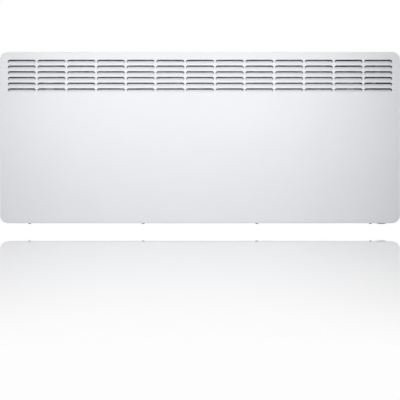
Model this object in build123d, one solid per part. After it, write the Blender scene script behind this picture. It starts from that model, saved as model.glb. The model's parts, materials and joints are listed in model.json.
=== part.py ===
from build123d import *
import os
from math import cos, radians, sin, sqrt

# Wall panel convector heater on its wall bracket, in millimetres.
# +X is right and +Z is up as seen from the room, and -Y points into the room.
# The wall is the plane y = 0, and the origin is the middle of the bracket rail's rear face.

# Overall sizes
PANEL_W = 1050.0
PANEL_H = 450.0
DEPTH = 100.0
CORNER_R = 20.0
EDGE_BEND = 3.0
HALF_W = PANEL_W / 2
HALF_H = PANEL_H / 2

# How far a cut runs past the faces that it opens, and joined shapes run into each other
CUT = 1.0
OVERLAP = 1.0
TOUCH = 0.01

# Sheet thicknesses
PANEL_T = 1.0
WRAP_T = 0.8
PLATE_T = 0.8
SHIELD_T = 0.6
REAR_SHIELD_T = 0.8
BRACKET_T = 1.5

# Layers in Y, from the room to the wall
BRACKET_D = 20.0
BRACKET_FIT = 0.3
PANEL_D = 24.0
FRONT_Y = -DEPTH
RIM_Y = FRONT_Y + PANEL_D
BRACKET_Y = -BRACKET_D
REAR_Y = BRACKET_Y - BRACKET_FIT
PLATE_Y = REAR_Y - PLATE_T
LIP_Y = PLATE_Y - WRAP_T

# Louvres: tongues lanced on three sides and bent in about their lower edge
LOUVRE_ROWS = 6
LOUVRE_WEB = 5.0
LOUVRE_MARGIN = 20.5
SLOT_W = 73.0
SLOT_H = 10.0
LOUVRE_PITCH_X = SLOT_W + LOUVRE_WEB
LOUVRE_PITCH_Z = SLOT_H + LOUVRE_WEB
BLADE_RISE = 6.8
BLADE_DEPTH = 7.0
BLADE_WALL = 0.8
BLADE_KERF = 1.2
LOUVRE_COLS = int((PANEL_W - 2 * LOUVRE_MARGIN - SLOT_W) / LOUVRE_PITCH_X) + 1
LOUVRE_TOP_Z = HALF_H - LOUVRE_MARGIN - SLOT_H / 2
LOUVRE_LOW_Z = LOUVRE_TOP_Z - (LOUVRE_ROWS - 1) * LOUVRE_PITCH_Z

# Casing wrap, inset behind the panel's edge
WRAP_INSET = 0.5
LIP = 10.0
WRAP_OUT_Z = HALF_H - WRAP_INSET
WRAP_OUT_X = HALF_W - WRAP_INSET
WRAP_IN_Z = WRAP_OUT_Z - WRAP_T
WRAP_IN_X = WRAP_OUT_X - WRAP_T

# Bottom screws and the panel tabs that they hold
SCREW_EDGE = 75.0
SCREW_XS = [(HALF_W - SCREW_EDGE) * k / 3 for k in (-3, -1, 1, 3)]
SCREW_BEHIND_RIM = 7.0
SCREW_Y = RIM_Y + SCREW_BEHIND_RIM
SCREW_R = 1.75
SCREW_HEAD_R = 3.45
SCREW_HEAD_H = 2.6
SCREW_HEAD_ROUND = 1.2
SCREW_SHANK = 7.0
SCREW_HOLE_R = 2.1
SCREW_TIP = 3.0
SCREW_TIP_R = 0.3
CROSS_L = 3.8
CROSS_W = 0.9
CROSS_D = 1.4
TAB_W = 18.0
TAB_T = 1.0
TAB_ROOT = 10.0
TAB_REACH = 14.0
TAB_NOTCH = 2.0

# Wall bracket
ARM_EDGE = 125.0
ARM_X = HALF_W - ARM_EDGE
ARM_W = 36.0
ARM_FLANGE = 20.0
RAIL_GAP = 22.0
RAIL_H = 60.0
RAIL_FLANGE = 16.0
RAIL_LAP = 18.0
RAIL_HALF = ARM_X - ARM_W / 2 - RAIL_GAP
RAIL_SLOT_PITCH = 90.0
RAIL_SLOT_L = 60.0
RAIL_SLOT_H = 14.0
RAIL_SLOT_STEPS = (-3, -2, -1, 1, 2, 3)
RAIL_FLANGE_END = 15.0
RAIL_LAP_EDGE = 5.0
BRACKET_RIVET_R = 2.0
BRACKET_RIVET_IN = 10.0
BRACKET_RIVET_H = 1.4
BRACKET_RIVET_ROUND = 0.8
ARM_CORNER_R = 6.0
ARM_WING_RISE = 8.0
HOOK_EDGE = 60.0
HOOK_TOP = HOOK_EDGE - HALF_H
HOOK_W = 16.0
HOOK_TIP = 8.0
HOOK_REACH = 3.0
HOOK_CHAMFER = 3.0
HOOK_ROOT = 0.5
HOOK_SLOT_W = 20.0
HOOK_SLOT_H = 16.0

# Quarter-turn latches, level with the gap of the fifth louvre row
LATCH_ROW = 5
LATCH_RISE = 3.5
LATCH_Z = LOUVRE_TOP_Z - (LATCH_ROW - 1) * LOUVRE_PITCH_Z + LATCH_RISE
LATCH_BAR_L = 22.0
LATCH_BAR_H = 7.0
LATCH_BAR_T = 4.0
LATCH_BAR_GAP = 0.5
LATCH_NECK_R = 3.0
LATCH_FIT = 0.2
LATCH_COLLAR_R = 7.0
LATCH_COLLAR_T = 2.5
LATCH_SLOT_W = 18.0
LATCH_SLOT_BOTTOM = LATCH_Z - 13.3
LATCH_SLOT_TOP = LATCH_Z + 13.0
LEVER_L = 62.0
LEVER_W = 10.0
LEVER_T = 4.0
LEVER_PAD_RIM = 3.0
LEVER_PAD_RISE = 3.5
LEVER_RIB_W = 2.0
LEVER_RIB_RISE = 2.5
LATCH_GROOVE_L = 16.0
LATCH_GROOVE_W = 1.2
LATCH_GROOVE_D = 0.8
STOP_TAB_GAP = 1.7
STOP_TAB_W = 1.5
STOP_TAB_H = 10.0
STOP_TAB_D = 5.0

# Bracket arms, between the hooks and the latches
ARM_BOTTOM = HOOK_TOP - 25.0
ARM_TOP = LATCH_Z - 23.0
TONGUE_TOP = LATCH_Z + 22.0
WALL_HOLE_X = ARM_X + ARM_W / 2 + ARM_FLANGE / 2
WALL_HOLE_Z = ARM_TOP - 20.0
WALL_HOLE_R = 3.0

# Rivets
RIVET_R = 1.6
RIVET_HEAD_R = 3.2
RIVET_HEAD_H = 0.9
RIVET_HEAD_ROUND = 0.5
RIVET_BULB = 2.0
RIVET_BULB_R = 2.5
CASING_RIVETS = 6
CASING_RIVET_EDGE = 35.0

# Heating chamber
CHAMBER_EDGE_L = 28.0
CHAMBER_EDGE_R = 178.0
CHAMBER_L = CHAMBER_EDGE_L - HALF_W
CHAMBER_R = HALF_W - CHAMBER_EDGE_R
CHAMBER_BOTTOM = 20.0 - HALF_H
CHAMBER_TOP = LOUVRE_LOW_Z - 19.5
CHAMBER_MID = (CHAMBER_BOTTOM + CHAMBER_TOP) / 2
CHAMBER_Y = FRONT_Y + 13.0
CHAMBER_FLANGE = 14.0
CHAMBER_SILL = 5.0
FRONT_HEM = 4.0
SHIELD_RIVET_LOW = 20.0
SHIELD_RIVET_DROP = 15.0
FOOT_RIVET_LOW = 25.0
FOOT_RIVET_MID = 10.0
FOOT_RIVET_DROP = 45.0

# Finned element
TUBE_R = 4.0
TUBE_Y = -56.0
TUBE_Z = CHAMBER_BOTTOM + 85.0
TUBE_GAP = 24.0
TUBE_LEFT = CHAMBER_L + 19.0
TUBE_RIGHT = CHAMBER_R + 3.0
FIN_PITCH = 10.0
FIN_T = 0.5
FIN_D = 40.0
FIN_H = 60.0
FIN_X0 = TUBE_LEFT + 13.0
FIN_CLEAR = 22.0
FIN_COUNT = int((CHAMBER_R - FIN_CLEAR - FIN_X0) / FIN_PITCH) + 1
FIN_CORNER_R = 4.0
FERRULE_R = 7.5
FERRULE_L = 4.0
NECK_R = 5.0
BEAD_L = 6.0
PIN_R = 1.5
PIN_SHOW = 2.0
BLADE_W = 6.3
BLADE_T = 0.8
BLADE_L = 9.0
SMALL_BLADE_W = 4.8
HANGER_T = 1.0
HANGER_FOOT = 13.0
HANGER_H = 52.0
HANGER_RIVET_Z = 14.0
HANGER_XS = (TUBE_LEFT + 4.0, FIN_X0 + (FIN_COUNT // 2 - 0.5) * FIN_PITCH - HANGER_T / 2)

# Rear heat shield, around the element's level
REAR_SHIELD_Y = PLATE_Y - 10.1
REAR_SHIELD_BOTTOM = TUBE_Z - 28.0
REAR_SHIELD_TOP = CHAMBER_TOP - 35.0
REAR_SHIELD_INSET = 8.0
REAR_SHIELD_CLEAR = 3.0
SHIELD_FOOT = 10.0
SHIELD_FEET = 4
SHIELD_FOOT_LEFT = 27.0
SHIELD_FOOT_RIGHT = 37.0

# Overheat cut-outs in the right partition
CUTOUT_ZS = (TUBE_Z + 80.0, TUBE_Z + 135.0)
CUTOUT_R = 7.5
CUTOUT_BODY_R = 8.5
CUTOUT_BODY = 10.0
CUTOUT_BLADE = 8.0
CUTOUT_EAR = 12.0
CUTOUT_EAR_END = 4.0
CUTOUT_EAR_R = 5.0
CUTOUT_CAP = 3.0
CUTOUT_BLADE_Y = 5.0
CUTOUT_RIVET_HEAD_R = 3.0
CUTOUT_FLANGE_T = 0.8

# Circuit boards and their screws
PCB_T = 1.6
BOARD_SCREW_R = 1.1
BOARD_SCREW_L = 5.0
BOARD_SCREW_HEAD = 1.4
BOARD_SCREW_RIM = 1.0
BORE_SPARE = 1.0
POST_R = 3.0
REAR_SCREW_R = 1.5
REAR_SCREW_HEAD = 1.6
REAR_SCREW_ROUND = 0.7

# Control unit in the top, between the chamber and the right side
CONTROL_W = 80.0
CONTROL_D = 44.0
CONTROL_H = 32.2
CONTROL_WALL = 1.6
CONTROL_X = CHAMBER_R + 43.0
CONTROL_Y = -50.0
CONTROL_R = 3.0
CONTROL_INNER_R = 1.5
CONTROL_POST_IN = 5.5
CONTROL_SCREW_X = 28.0
CONTROL_BOSS_RIM = 2.0
CONTROL_PCB_FIT = 0.9
BEZEL_T = 1.5
BEZEL_GAP = 0.3
BEZEL_R = 4.0
BEZEL_IN_X = 2.5
BEZEL_IN_Y = 2.0
BEZEL_LAP_X = 2.0
BEZEL_LAP_Y = 1.0
BEZEL_TOP = WRAP_OUT_Z - BEZEL_GAP
BEZEL_Z = WRAP_IN_Z - BEZEL_T
CONTROL_BOTTOM = BEZEL_Z - CONTROL_H
CONTROL_PCB_Z = CONTROL_BOTTOM + 18.0
CONTROL_PCB_TOP = CONTROL_PCB_Z + PCB_T
CONTROL_SCREW_Z = CONTROL_BOTTOM + 12.0
BUTTON_PITCH = 15.0
BUTTON_XS = [CONTROL_X + k * BUTTON_PITCH for k in (-2, -1, 0, 1, 2)]
BUTTON_Y = CONTROL_Y - 12.0
BUTTON_R = 4.5
BUTTON_FIT = 0.3
BUTTON_COLLAR = 1.3
BUTTON_COLLAR_T = 1.5
BUTTON_ROUND = 0.6
BUTTON_TOP = HALF_H
BUTTON_STEM_R = 1.6
BUTTON_STEM_L = 2.0
BUTTON_SEAT = 1.0
TACT_W = 6.0
TACT_H = 3.5
TACT_WELL = 1.5
TACT_FIT = 0.2
LCD_Y = CONTROL_Y + 7.0
LCD_W = 50.0
LCD_D = 16.0
LCD_RIM = 1.0
LCD_T = 1.8
LCD_R = 1.5

# Mains rocker switch in the bottom
ROCKER_EDGE = 46.0
ROCKER_X = HALF_W - ROCKER_EDGE
ROCKER_Y = -56.5
ROCKER_W = 19.0
ROCKER_R = 12.5
ROCKER_PIVOT_Z = 3.9 - WRAP_OUT_Z
ROCKER_TILT = 6.0
ROCKER_FIT = 0.3
ROCKER_PIN_R = 1.5
FRAME_W = 25.0
FRAME_D = 31.0
FRAME_T = 1.6
FRAME_WALL = 1.0
FRAME_R = 2.5
FRAME_ROUND = 0.5
POCKET_TOP = 4.8
ROCKER_PIN_L = 0.6
ROCKER_PIN_FIT = 0.1
ROCKER_PIN_END = 0.2
ROCKER_FACE = 4.2
ROCKER_CHEEK = 5.65
ROCKER_BACK = 3.0
SWITCH_H = 20.0
SWITCH_TAB = 9.0
SWITCH_TAB_X = 5.0
SWITCH_TAB_Y = 8.0

# Air inlets in the bottom, from the left end to the switch
INLET_PITCH = 68.0
INLET_YS = (-54.0, -42.0, -30.0)
INLET_L = 58.0
INLET_W = 6.0
INLET_X0 = 39.0 - HALF_W
INLET_CLEAR = 81.0
INLET_COLS = int((ROCKER_X - INLET_CLEAR - INLET_X0) / INLET_PITCH) + 1

# Power board at the right, level with the latch
TRAY_W = 83.0
TRAY_H = 142.0
TRAY_D = 13.0
TRAY_WALL = 2.0
TRAY_X = HALF_W - 58.5
TRAY_Z = LATCH_Z - 52.0
TRAY_POST = 7.0
TRAY_BOSS = 6.0
TRAY_SCREW_Z = 50.0
TRAY_R = 3.0
TRAY_INNER_R = 1.5
TRAY_BOSS_RIM = 1.0
TRAY_BOSS_END = 0.5
PCB_CORNER_R = 1.0
POWER_PCB_Y = PLATE_Y - 8.9
POWER_FACE_Y = POWER_PCB_Y - PCB_T
BLOCK_X = TRAY_X - 27.5
BLOCK_Z = TRAY_Z - TRAY_H / 2 + 22.0
BLOCK_WAYS = 6
BLOCK_PITCH = 10.0
BLOCK_SCREW_R = 2.4
BLOCK_WELL_R = 2.6
BLOCK_WELL = 4.0
BLOCK_SCREW_TOP = 1.5
BLOCK_GROOVE_W = 0.8
BLOCK_GROOVE_D = 0.8
BLOCK_ENTRY_Y = 8.0
BLOCK_ENTRY_L = 5.0
BLOCK_ENTRY_FIT = 0.6
BLOCK_WIRE_DROP = 5.0
RELAY_X = 18.0
RELAY_DROP = 43.5
RELAY_SIZE = (29.0, 13.0, 16.0)
RELAY_CHAMFER = 0.6
CAP_X = -21.5
CAP_DROP = 28.0
CAP_SIZE = (18.0, 12.0, 11.0)
CAP_ROUND = 0.8
TRANSFORMER_X = -15.5
TRANSFORMER_Z = 1.0
TRANSFORMER_SIZE = (22.0, 24.0, 18.0)
TRANSFORMER_CHAMFER = 1.5
DISPLAY_PLUG_W = 10.0
SENSOR_PLUG_W = 8.0
PLUG_H = 6.0
DISPLAY_PLUG_X = -4.5
DISPLAY_PLUG_Z = TRAY_H / 2 - 13.0
SENSOR_PLUG_X = 31.5
SENSOR_PLUG_Z = 43.0 - TRAY_H / 2
BLOCK_H = 16.0
BLOCK_D = 14.0
PLUG_D = 9.0

# Small parts on the right
SENSOR_X = ROCKER_X - 39.0
SENSOR_Y = -50.0
SENSOR_Z = 10.7 - WRAP_IN_Z
SENSOR_R = 2.5
SENSOR_CLIP = 10.0
SENSOR_LEFT = 12.0
SENSOR_RIGHT = 9.0
SENSOR_ROUND = 1.5
GROMMET_X = HALF_W - 55.0
GROMMET_Z = 35.0 - HALF_H
GROMMET_R = 6.0
GROMMET_REAR_RIM = 3.0
GROMMET_REAR_T = 1.8
GROMMET_FRONT_RIM = 2.0
GROMMET_FRONT_T = 2.5
CORD_R = 4.0
CLAMP_RISE = 22.0
CLAMP_W = 28.0
CLAMP_BASE_H = 12.0
CLAMP_BASE_D = 4.0
CLAMP_BRIDGE_H = 8.0
CLAMP_BRIDGE_D = 9.0
CLAMP_CORD_IN = 3.5
EARTH_X = HALF_W - 25.0
EARTH_Z = TRAY_Z - 151.0
STUD_R = 2.5
STUD_L = 13.0
WELD_RIM = 2.0
LUG_T = 0.8
LUG_TAIL_W = 4.0
LUG_TAIL = 10.0
CRIMP_LOW = 9.0
CRIMP_TOP = 16.0
CRIMP_WALL = 0.8
CRIMP_Y = 1.2
WIRE_STOP = 12.0
NUT_R = 4.62
NUT_H = 4.0
WELD_T = 1.0
WIRE_R = 1.4
LEAD_R = 1.1
CABLE_R = 2.0
CABLE_Y = -44.0
CABLE_Z = CONTROL_BOTTOM + 11.0
BLADE_SIDE = WIRE_R + 5.4


def box(x0, x1, y0, y1, z0, z1):
    """A box between two corners, given in either order."""
    centre = Pos((x0 + x1) / 2, (y0 + y1) / 2, (z0 + z1) / 2)
    return centre * Box(abs(x1 - x0), abs(y1 - y0), abs(z1 - z0))


def along_y(sketch, y0, y1, x=0.0, z=0.0):
    """A sketch seen from the front, from y0 back to y1."""
    plane = Plane(origin=(x, y1, z), x_dir=(1, 0, 0), z_dir=(0, -1, 0))
    return extrude(plane * sketch, y1 - y0)


def along_z(sketch, z0, z1, x=0.0, y=0.0):
    plane = Plane(origin=(x, y, z0), x_dir=(1, 0, 0), z_dir=(0, 0, 1))
    return extrude(plane * sketch, z1 - z0)


def along_x(sketch, x0, x1, y=0.0, z=0.0):
    """A sketch in Y and Z, from x0 to x1."""
    plane = Plane(origin=(x0, y, z), x_dir=(0, 1, 0), z_dir=(1, 0, 0))
    return extrude(plane * sketch, x1 - x0)


def rod_x(x0, x1, y, z, r):
    return along_x(Circle(r), x0, x1, y, z)


def rod_y(x, z, y0, y1, r):
    return along_y(Circle(r), y0, y1, x, z)


def rod_z(x, y, z0, z1, r):
    return along_z(Circle(r), z0, z1, x, y)


def group(shapes):
    """Loose solids that share one node."""
    return Compound([solid for shape in shapes for solid in shape.solids()])


def tube(points, radius, bend):
    """A round wire through the points, with a bend of one radius at each inner point."""
    nodes = [Vector(*p) for p in points]
    edges = []
    start = nodes[0]
    for before, here, after in zip(nodes, nodes[1:], nodes[2:]):
        back = (before - here).normalized()
        ahead = (after - here).normalized()
        half = radians(back.get_angle(ahead)) / 2
        reach = bend / (sin(half) / cos(half))
        first = here + back * reach
        last = here + ahead * reach
        middle = here + (back + ahead).normalized() * (bend / sin(half) - bend)
        edges.append(Line(start, first))
        edges.append(ThreePointArc(first, middle, last))
        start = last
    edges.append(Line(start, nodes[-1]))
    path = Wire(edges)
    section = Plane(origin=nodes[0], z_dir=nodes[1] - nodes[0]) * Circle(radius)
    return sweep(section, path=path)


def front_edges(shape, y):
    return shape.edges().filter_by_position(Axis.Y, y - TOUCH, y + TOUCH)


# Front panel


def louvre_centres():
    first = -(LOUVRE_COLS - 1) / 2 * LOUVRE_PITCH_X
    return [
        (first + col * LOUVRE_PITCH_X, LOUVRE_TOP_Z - row * LOUVRE_PITCH_Z)
        for row in range(LOUVRE_ROWS)
        for col in range(LOUVRE_COLS)
    ]


def louvre_blade():
    """One tongue about the slot's centre: flush at the bottom, deep and free at the top and ends."""
    slope = BLADE_DEPTH / BLADE_RISE
    wall = BLADE_WALL * sqrt(1 + slope * slope)
    low = -SLOT_H / 2
    high = low + BLADE_RISE
    under = low - BLADE_WALL
    profile = Polygon(
        (FRONT_Y, under),
        (FRONT_Y + wall - slope * BLADE_WALL, under),
        (FRONT_Y + wall + BLADE_DEPTH, high),
        (FRONT_Y + BLADE_DEPTH, high),
        (FRONT_Y, low),
        align=None,
    )
    deep = FRONT_Y + 2 * BLADE_DEPTH
    tongue = SlotOverall(SLOT_W - 2 * BLADE_KERF, BLADE_RISE)
    root = SLOT_W / 2 - SLOT_H / 2
    outline = along_y(tongue, FRONT_Y - CUT, deep, 0, low + BLADE_RISE / 2)
    outline = outline + box(-root, root, FRONT_Y - CUT, deep, under, low + BLADE_WALL)
    return outline & along_x(profile, -SLOT_W / 2, SLOT_W / 2)


def panel_tab(x, side):
    """A joggled tab that slides inside the casing's top or bottom wall."""
    outer = PANEL_H / 2 - PANEL_T
    inner = WRAP_IN_Z - TAB_T
    left = x - TAB_W / 2
    right = x + TAB_W / 2
    start = RIM_Y - TAB_ROOT
    root = box(left, right, start, RIM_Y - TAB_NOTCH, side * inner, side * outer)
    return root + box(left, right, start, RIM_Y + TAB_REACH, side * inner, side * WRAP_IN_Z)


def front_panel():
    outer = along_y(RectangleRounded(PANEL_W, PANEL_H, CORNER_R), FRONT_Y, RIM_Y)
    outer = fillet(front_edges(outer, FRONT_Y), EDGE_BEND)
    inset = RectangleRounded(PANEL_W - 2 * PANEL_T, PANEL_H - 2 * PANEL_T, CORNER_R - PANEL_T)
    inner = along_y(inset, FRONT_Y + PANEL_T, RIM_Y + CUT)
    inner = fillet(front_edges(inner, FRONT_Y + PANEL_T), EDGE_BEND - PANEL_T)
    slot = along_y(SlotOverall(SLOT_W, SLOT_H), FRONT_Y - CUT, FRONT_Y + PANEL_T + CUT)
    blade = louvre_blade()
    centres = louvre_centres()
    panel = outer - inner
    panel = panel - [Pos(x, 0, z) * slot for x, z in centres]
    tabs = [panel_tab(x, side) for x in SCREW_XS for side in (-1, 1)]
    panel = panel + [Pos(x, 0, z) * blade for x, z in centres] + tabs
    pilots = [rod_z(x, SCREW_Y, -WRAP_OUT_Z, -WRAP_IN_Z + 2 * TAB_T, SCREW_R) for x in SCREW_XS]
    return panel - pilots


# Casing


def casing_wrap():
    outer = RectangleRounded(2 * WRAP_OUT_X, 2 * WRAP_OUT_Z, CORNER_R - WRAP_INSET)
    inner = RectangleRounded(2 * WRAP_IN_X, 2 * WRAP_IN_Z, CORNER_R - WRAP_INSET - WRAP_T)
    mouth = RectangleRounded(2 * (WRAP_IN_X - LIP), 2 * (WRAP_IN_Z - LIP), CORNER_R / 2)
    wrap = along_y(outer, RIM_Y, PLATE_Y)
    wrap = wrap - along_y(inner, RIM_Y + WRAP_T, LIP_Y)
    wrap = wrap - along_y(mouth, RIM_Y - CUT, PLATE_Y + CUT)
    notch = TAB_W / 2 + TAB_NOTCH
    cuts = []
    for x in SCREW_XS:
        for side in (-1, 1):
            low = side * (WRAP_IN_Z - LIP - CUT)
            deep = RIM_Y + WRAP_T + CUT
            cuts.append(box(x - notch, x + notch, RIM_Y - CUT, deep, low, side * WRAP_IN_Z))
        cuts.append(bottom_cut(Circle(SCREW_HOLE_R), x, SCREW_Y))
    for col in range(INLET_COLS):
        for y in INLET_YS:
            cuts.append(bottom_cut(SlotOverall(INLET_L, INLET_W), INLET_X0 + col * INLET_PITCH, y))
    cuts.append(bottom_cut(Rectangle(*switch_body_size(FRAME_WALL + ROCKER_FIT)), ROCKER_X, ROCKER_Y))
    window = bezel_raised(BEZEL_GAP)
    cuts.append(along_z(window, WRAP_IN_Z - CUT, WRAP_OUT_Z + CUT, CONTROL_X, CONTROL_Y))
    cuts += [rod_y(x, z, LIP_Y - CUT, PLATE_Y + CUT, RIVET_R) for x, z in casing_rivet_spots()]
    return wrap - cuts


def bottom_cut(sketch, x, y):
    """A hole through the casing's bottom wall."""
    return along_z(sketch, -WRAP_OUT_Z - CUT, -WRAP_IN_Z + CUT, x, y)


def casing_rivet_spots():
    edge_z = WRAP_IN_Z - LIP / 2
    edge_x = WRAP_IN_X - LIP / 2
    reach = HALF_W - CASING_RIVET_EDGE
    xs = [reach * (2 * k / (CASING_RIVETS - 1) - 1) for k in range(CASING_RIVETS)]
    spots = [(x, side * edge_z) for x in xs for side in (-1, 1)]
    return spots + [(side * edge_x, half * WRAP_IN_Z) for half in (-0.5, 0.5) for side in (-1, 1)]


def shield_foot_spots():
    first = CHAMBER_L + SHIELD_FOOT_LEFT
    step = (CHAMBER_R - SHIELD_FOOT_RIGHT - first) / (SHIELD_FEET - 1)
    low = REAR_SHIELD_BOTTOM - SHIELD_FOOT / 2
    high = REAR_SHIELD_TOP + SHIELD_FOOT / 2
    return [(first + k * step, z) for k in range(SHIELD_FEET) for z in (low, high)]


def partition_foot_spots():
    right = CHAMBER_R + CHAMBER_FLANGE / 2
    left = CHAMBER_L - CHAMBER_FLANGE / 2
    return [(x, z) for x in (left, right) for z in partition_foot_zs()]


def partition_foot_zs():
    low = CHAMBER_BOTTOM + FOOT_RIVET_LOW
    return (low, CHAMBER_MID - FOOT_RIVET_MID, CHAMBER_TOP - FOOT_RIVET_DROP)


def back_plate():
    outline = RectangleRounded(2 * WRAP_OUT_X, 2 * WRAP_OUT_Z, CORNER_R - WRAP_INSET)
    plate = along_y(outline, PLATE_Y, REAR_Y)
    spots = casing_rivet_spots() + shield_foot_spots() + partition_foot_spots()
    front = PLATE_Y - CUT
    rear = REAR_Y + CUT
    cuts = [rod_y(x, z, front, rear, RIVET_R) for x, z in spots]
    spots = control_screw_spots() + tray_screw_spots()
    cuts += [rod_y(x, z, front, rear, REAR_SCREW_R) for x, z in spots]
    cuts.append(rod_y(GROMMET_X, GROMMET_Z, front, rear, GROMMET_R))
    tabs = []
    for side in (-1, 1):
        x = side * ARM_X
        wide = HOOK_SLOT_W / 2
        cuts.append(box(x - wide, x + wide, front, rear, HOOK_TOP - HOOK_SLOT_H, HOOK_TOP))
        wide = LATCH_SLOT_W / 2
        cuts.append(box(x - wide, x + wide, front, rear, LATCH_SLOT_BOTTOM, LATCH_SLOT_TOP))
        near = x - side * (LATCH_BAR_L / 2 + STOP_TAB_GAP)
        low = LATCH_Z - STOP_TAB_H / 2
        far = near - side * STOP_TAB_W
        tabs.append(box(near, far, PLATE_Y - STOP_TAB_D, PLATE_Y, low, low + STOP_TAB_H))
    return (plate - cuts) + tabs


def rivet(x, z, y_front, y_rear):
    """A blind rivet through sheets between two levels, its head on the wall side."""
    shank = rod_y(x, z, y_front, y_rear, RIVET_R)
    head = rod_y(x, z, y_rear, y_rear + RIVET_HEAD_H, RIVET_HEAD_R)
    head = fillet(front_edges(head, y_rear + RIVET_HEAD_H), RIVET_HEAD_ROUND)
    bulb = rod_y(x, z, y_front - RIVET_BULB, y_front, RIVET_BULB_R)
    return shank + head + bulb


def casing_rivets():
    return group(rivet(x, z, LIP_Y, REAR_Y) for x, z in casing_rivet_spots())


def bottom_screw(x):
    """A pan-head screw pointing up through the casing into a panel tab."""
    base = -WRAP_OUT_Z
    head = rod_z(x, SCREW_Y, base - SCREW_HEAD_H, base, SCREW_HEAD_R)
    head = fillet(head.edges().group_by(Axis.Z)[0], SCREW_HEAD_ROUND)
    face = base - SCREW_HEAD_H
    for long, wide in ((CROSS_L / 2, CROSS_W / 2), (CROSS_W / 2, CROSS_L / 2)):
        near = SCREW_Y - wide
        far = SCREW_Y + wide
        head = head - box(x - long, x + long, near, far, face - CUT, face + CROSS_D)
    shank = rod_z(x, SCREW_Y, base, base + SCREW_SHANK, SCREW_R)
    tip = Pos(x, SCREW_Y, base + SCREW_SHANK + SCREW_TIP / 2) * Cone(SCREW_R, SCREW_TIP_R, SCREW_TIP)
    return head + shank + tip


def casing_screws():
    return group(bottom_screw(x) for x in SCREW_XS)


# Wall bracket


def bracket_rail():
    half = RAIL_H / 2
    web = box(-RAIL_HALF, RAIL_HALF, -BRACKET_T, 0, -half, half)
    flange_x = RAIL_HALF - RAIL_FLANGE_END
    lap_z = half - RAIL_LAP_EDGE
    parts = []
    for side in (-1, 1):
        z0 = side * (half - BRACKET_T)
        parts.append(box(-flange_x, flange_x, -RAIL_FLANGE, 0, z0, side * half))
        x0 = side * (RAIL_HALF - BRACKET_T)
        x1 = side * (RAIL_HALF + RAIL_LAP)
        parts.append(box(x0, x1, -2 * BRACKET_T, -BRACKET_T, -lap_z, lap_z))
    slot = along_y(SlotOverall(RAIL_SLOT_L, RAIL_SLOT_H), -BRACKET_T - CUT, CUT)
    cuts = [Pos(k * RAIL_SLOT_PITCH, 0, 0) * slot for k in RAIL_SLOT_STEPS]
    front = -2 * BRACKET_T - CUT
    cuts += [rod_y(x, z, front, CUT, BRACKET_RIVET_R) for x, z in bracket_rivet_spots()]
    return (web + parts) - cuts


def bracket_rivet_spots():
    step = RAIL_H / 4
    x = RAIL_HALF + BRACKET_RIVET_IN
    return [(side * x, z) for side in (-1, 1) for z in (-step, step)]


def bracket_arm(side):
    half = ARM_W / 2
    tall = TONGUE_TOP - ARM_BOTTOM
    face = RectangleRounded(ARM_W, tall, ARM_CORNER_R)
    web = along_y(face, BRACKET_Y, BRACKET_Y + BRACKET_T, 0, (TONGUE_TOP + ARM_BOTTOM) / 2)
    wing_low = ARM_BOTTOM + ARM_WING_RISE
    parts = []
    for wing in (-1, 1):
        x0 = wing * (half - BRACKET_T)
        parts.append(box(x0, wing * half, BRACKET_Y + BRACKET_T / 2, 0, wing_low, ARM_TOP))
        edge = wing * (half + ARM_FLANGE)
        parts.append(box(x0, edge, -BRACKET_T, 0, wing_low, ARM_TOP))
    leg_front = BRACKET_Y - HOOK_REACH
    leg_low = HOOK_TOP - BRACKET_T
    wide = HOOK_W / 2
    parts.append(box(-wide, wide, leg_front, BRACKET_Y + HOOK_ROOT, leg_low, HOOK_TOP))
    tip = box(-wide, wide, leg_front, leg_front + BRACKET_T, leg_low, HOOK_TOP + HOOK_TIP)
    tip = chamfer(tip.edges().filter_by(Axis.Y).group_by(Axis.Z)[-1], HOOK_CHAMFER)
    parts.append(tip)
    arm = Pos(side * ARM_X, 0, 0) * (web + parts)
    cuts = [rod_y(side * ARM_X, LATCH_Z, BRACKET_Y - CUT, CUT, LATCH_NECK_R + LATCH_FIT)]
    front = -BRACKET_T - CUT
    for z in (-WALL_HOLE_Z, WALL_HOLE_Z):
        cuts.append(rod_y(side * WALL_HOLE_X, z, front, CUT, WALL_HOLE_R))
    cuts += [rod_y(x, z, front, CUT, BRACKET_RIVET_R) for x, z in bracket_rivet_spots()]
    return arm - cuts


def bracket_rivets():
    seat = -2 * BRACKET_T
    face = seat - BRACKET_RIVET_H
    rivets = []
    for x, z in bracket_rivet_spots():
        shank = rod_y(x, z, seat, 0, BRACKET_RIVET_R)
        head = rod_y(x, z, face, seat, 2 * BRACKET_RIVET_R)
        rivets.append(shank + fillet(front_edges(head, face), BRACKET_RIVET_ROUND))
    return group(rivets)


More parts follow.
